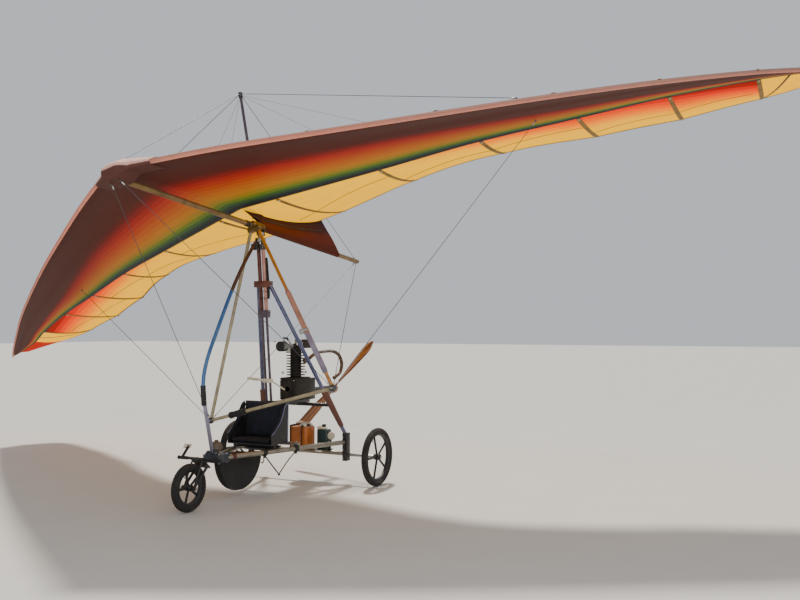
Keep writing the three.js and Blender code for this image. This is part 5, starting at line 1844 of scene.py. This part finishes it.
@dataclass
class WingFrame:
    """Keel, nose, control frame, kingpost and stays of the wing."""

    short: float = 26

    @staticmethod
    def corner(side: int) -> Vector:
        """Where a downtube meets the base bar."""
        return Vector((side * BAR_X, BAR_Y, BAR_Z))

    def downtube(self, side: int) -> tuple[Vector, Vector]:
        """Ends of a downtube, short of its corner."""
        top, foot = Vector((side * 34, -86, 26)), self.corner(side)
        return top, foot + (top - foot).normalized() * self.short

    def build(self) -> None:
        """Makes every piece of the wing's frame."""
        place = {"body": Body.WING, "place": WING}
        port, starboard = self.downtube(1), self.downtube(-1)
        bar = [Vector((side * (BAR_X - self.short), BAR_Y, BAR_Z)) for side in (-1, 1)]
        keel = (0, KEEL_FRONT, KEEL_Z), (0, KEEL_BACK, KEEL_Z)
        post = (0, KINGPOST_Y, 85.3), (0, KINGPOST_Y, KINGPOST_TOP)
        for tube in (
            Tube("keel_tube", *keel, KEEL_RADIUS, Finishes.KEEL, "beige_tube", **place),
            Tube("base_bar", *bar, BAR_RADIUS, Finishes.CREAM, "beige_tube", **place),
            Tube("downtube_starboard", *starboard, BAR_RADIUS, Finishes.CREAM, "beige_tube", **place),
            Tube("downtube_port", *port, BAR_RADIUS, Finishes.TAN, "orange_tube", **place),
            Tube("kingpost", *post, 13, Finishes.MAUVE, "alloy", **place),
        ):
            tube.build()
        self.castings()
        self.pads(port)
        self.fittings()

    def castings(self) -> None:
        """Takes over the brackets, the corner fittings and the stays."""
        for casting in (
            Casting("hang_block", Finishes.BRIGHT, "alloy", 1.5, Body.HANG_BLOCK, 50),
            Casting("nose_plate", Finishes.DULL, "alloy", 1.5, Body.WING, 50),
            Casting("keel_bracket", Finishes.OLIVE, "alloy", 1.5, Body.WING, 50),
            Casting("corner_port", Finishes.WIRE, "stays", 0, Body.WING, 50),
            Casting("corner_starboard", Finishes.WIRE, "stays", 0, Body.WING, 50),
            Casting("upper_stays", Finishes.WIRE, "stays", 0, Body.WING, 50),
        ):
            casting.build()

    def pads(self, port: tuple[Vector, Vector]) -> None:
        """Foam cover on the port downtube, grip on the base bar."""
        top, foot = port
        start, end = top.lerp(foot, 0.42), top.lerp(foot, 0.93)
        shape = Shape()
        line = [start.lerp(end, i / 60) for i in range(61)]

        def wrinkled(share: float) -> float:
            """Radius of the cover, drawn in at its ends and lightly wrinkled."""
            return 15.5 + 6.5 * drawn_in(share, 24) + 0.7 * wrinkle(share, 30, 2)

        shape.swept(line, wrinkled, 32, up=(0, 1, 0))
        pad = shape.done(
            "downtube_pad", Body.WING, Finishes.FOAM, WING, "orange_tube", ("downtube_port",), crease=70,
        )
        Second(Finishes.VIOLET_FOAM, lambda mid: mid.z < -1010, WING).apply(pad)
        clamp, way = top.lerp(foot, 0.675), (foot - top).normalized()
        shape = Shape()
        ring = [(22.6, -14), (27, -12), (29, 0), (27, 12), (22.6, 14)]
        shape.turned(ring, clamp, way, 40, ring=True)
        shape.block(clamp + Vector((-58, -14, -16)), clamp + Vector((-20, 14, 22)), 6)
        shape.bolt(clamp + Vector((-48, -14, 4)), (0, -1, 0), 6)
        shape.done("pad_clamp", Body.WING, Finishes.SILVER, WING, "alloy")
        shape = Shape()
        line = [(-400 + 170 * i / 48, BAR_Y, BAR_Z) for i in range(49)]

        def rolled(share: float) -> float:
            """Radius of the roll: blunt ends and soft lumps between its ties."""
            tie = max(math.exp(-(((share - at) / 0.03) ** 2)) for at in (0.28, 0.7))
            return 15 + 12 * drawn_in(share, 16) - 5 * tie + 3 * wrinkle(share, 7, 5)

        shape.swept(line, rolled, 32, up=(0, 1, 0))
        roll = shape.done("base_bar_roll", Body.WING, Finishes.BAG, WING, "dark_metal", crease=70)

    def fittings(self) -> None:
        """Swages on the stays, bolts at the corners and on the keel, the keel's end cap, clamps on the keel
        and the kingpost, and the luff lines.
        """
        shape = Shape()
        corners = {side: self.corner(side) for _, side in SIDES}
        top, clear = Vector((0, KINGPOST_Y, KINGPOST_TOP + 6)), Vector((0, 0, 12))
        sail = Sail()
        ends = [(top, sail.at(0, 90, Skin.TOP) + clear), (top, Vector((0, 1642, 85)))]
        for side, corner in corners.items():
            ends += [
                (corner, sail.at(side * 2450, 2080, Skin.UNDER) - clear),
                (corner, Vector((side * 40, -1670, 21))),
                (corner, Vector((side * 12, 1642, 27))),
                (top, sail.at(side * 2450, 1640, Skin.TOP) + clear),
            ]
        for a, b in ends:
            way = (b - a).normalized()
            for near in (a + way * 44, b - way * 40):
                shape.rod(near, near + way * 26, 5, sides=16, edge=1.2)
        for corner in corners.values():
            shape.bolt(corner + Vector((0, -26, 0)), (0, -1, 0), 7)
            shape.bolt(corner + Vector((0, 26, 0)), (0, 1, 0), 7)
        for y in (-118, -40, 26):
            for x, way in ((-30.2, -1), (30.2, 1)):
                shape.bolt((x, y, KEEL_Z), (way, 0, 0), 5)
        for x, way in ((-56.2, -1), (56.2, 1)):
            shape.bolt((x, -96, 26), (way, 0, 0), 6)
        shape.rod((0, KEEL_BACK, KEEL_Z), (0, KEEL_BACK + 8, KEEL_Z), 20, sides=32, edge=2)
        shape.done("wing_fittings", Body.WING, Finishes.BRIGHT, WING, "alloy")

        shape = Shape()
        for y in (-196, -168):
            shape.turned(ring_profile(KEEL_RADIUS + GAP, 27, 9), (0, y, KEEL_Z), (0, 1, 0), 40, ring=True)
            shape.block((-5, y - 8, 26), (5, y + 8, 34), 1.5)
        shape.turned(ring_profile(13 + GAP, 18, 16), (0, KINGPOST_Y, 118), (0, 0, 1), 32, ring=True)
        shape.done("keel_clamps", Body.WING, Finishes.BLACK, WING, "dark_metal")

        shape = Shape()
        for side in (-1, 1):
            for out in (1150, 1950):
                end = sail.on_cloth(side * out, 1.93, 8)
                shape.swept([top + Vector((0, 0, -14)), end], 1.3, 8)
                shape.rod(end + Vector((0, 0, -6)), end + Vector((0, 0, 4)), 6, sides=12)
        shape.done("luff_lines", Body.WING, Finishes.WIRE, WING, "stays")


def main() -> None:
    """Builds the studio and every sub-assembly in order."""
    Studio().build()
    Airframe().build()
    Steering().build()
    for body, side in ((Body.PORT_WHEEL, 1), (Body.STARBOARD_WHEEL, -1)):
        hub = (side * TRACK_HALF, 0, REAR_RADIUS)
        Wheel(f"wheel_{body.value.removesuffix('_wheel')}", body, hub, REAR_RADIUS, 64, 204, 27).build()
    hub = (0, NOSE_WHEEL_Y, NOSE_RADIUS)
    Wheel("wheel_nose", Body.NOSE_WHEEL, hub, NOSE_RADIUS, 62, 130, 25, lugs=44).build()
    Seat().build()
    BellyBag().build()
    Engine().build()
    Fuel().build()
    Airscrew().build()
    Sail().build()
    WingFrame().build()


if __name__ == "__main__":
    main()
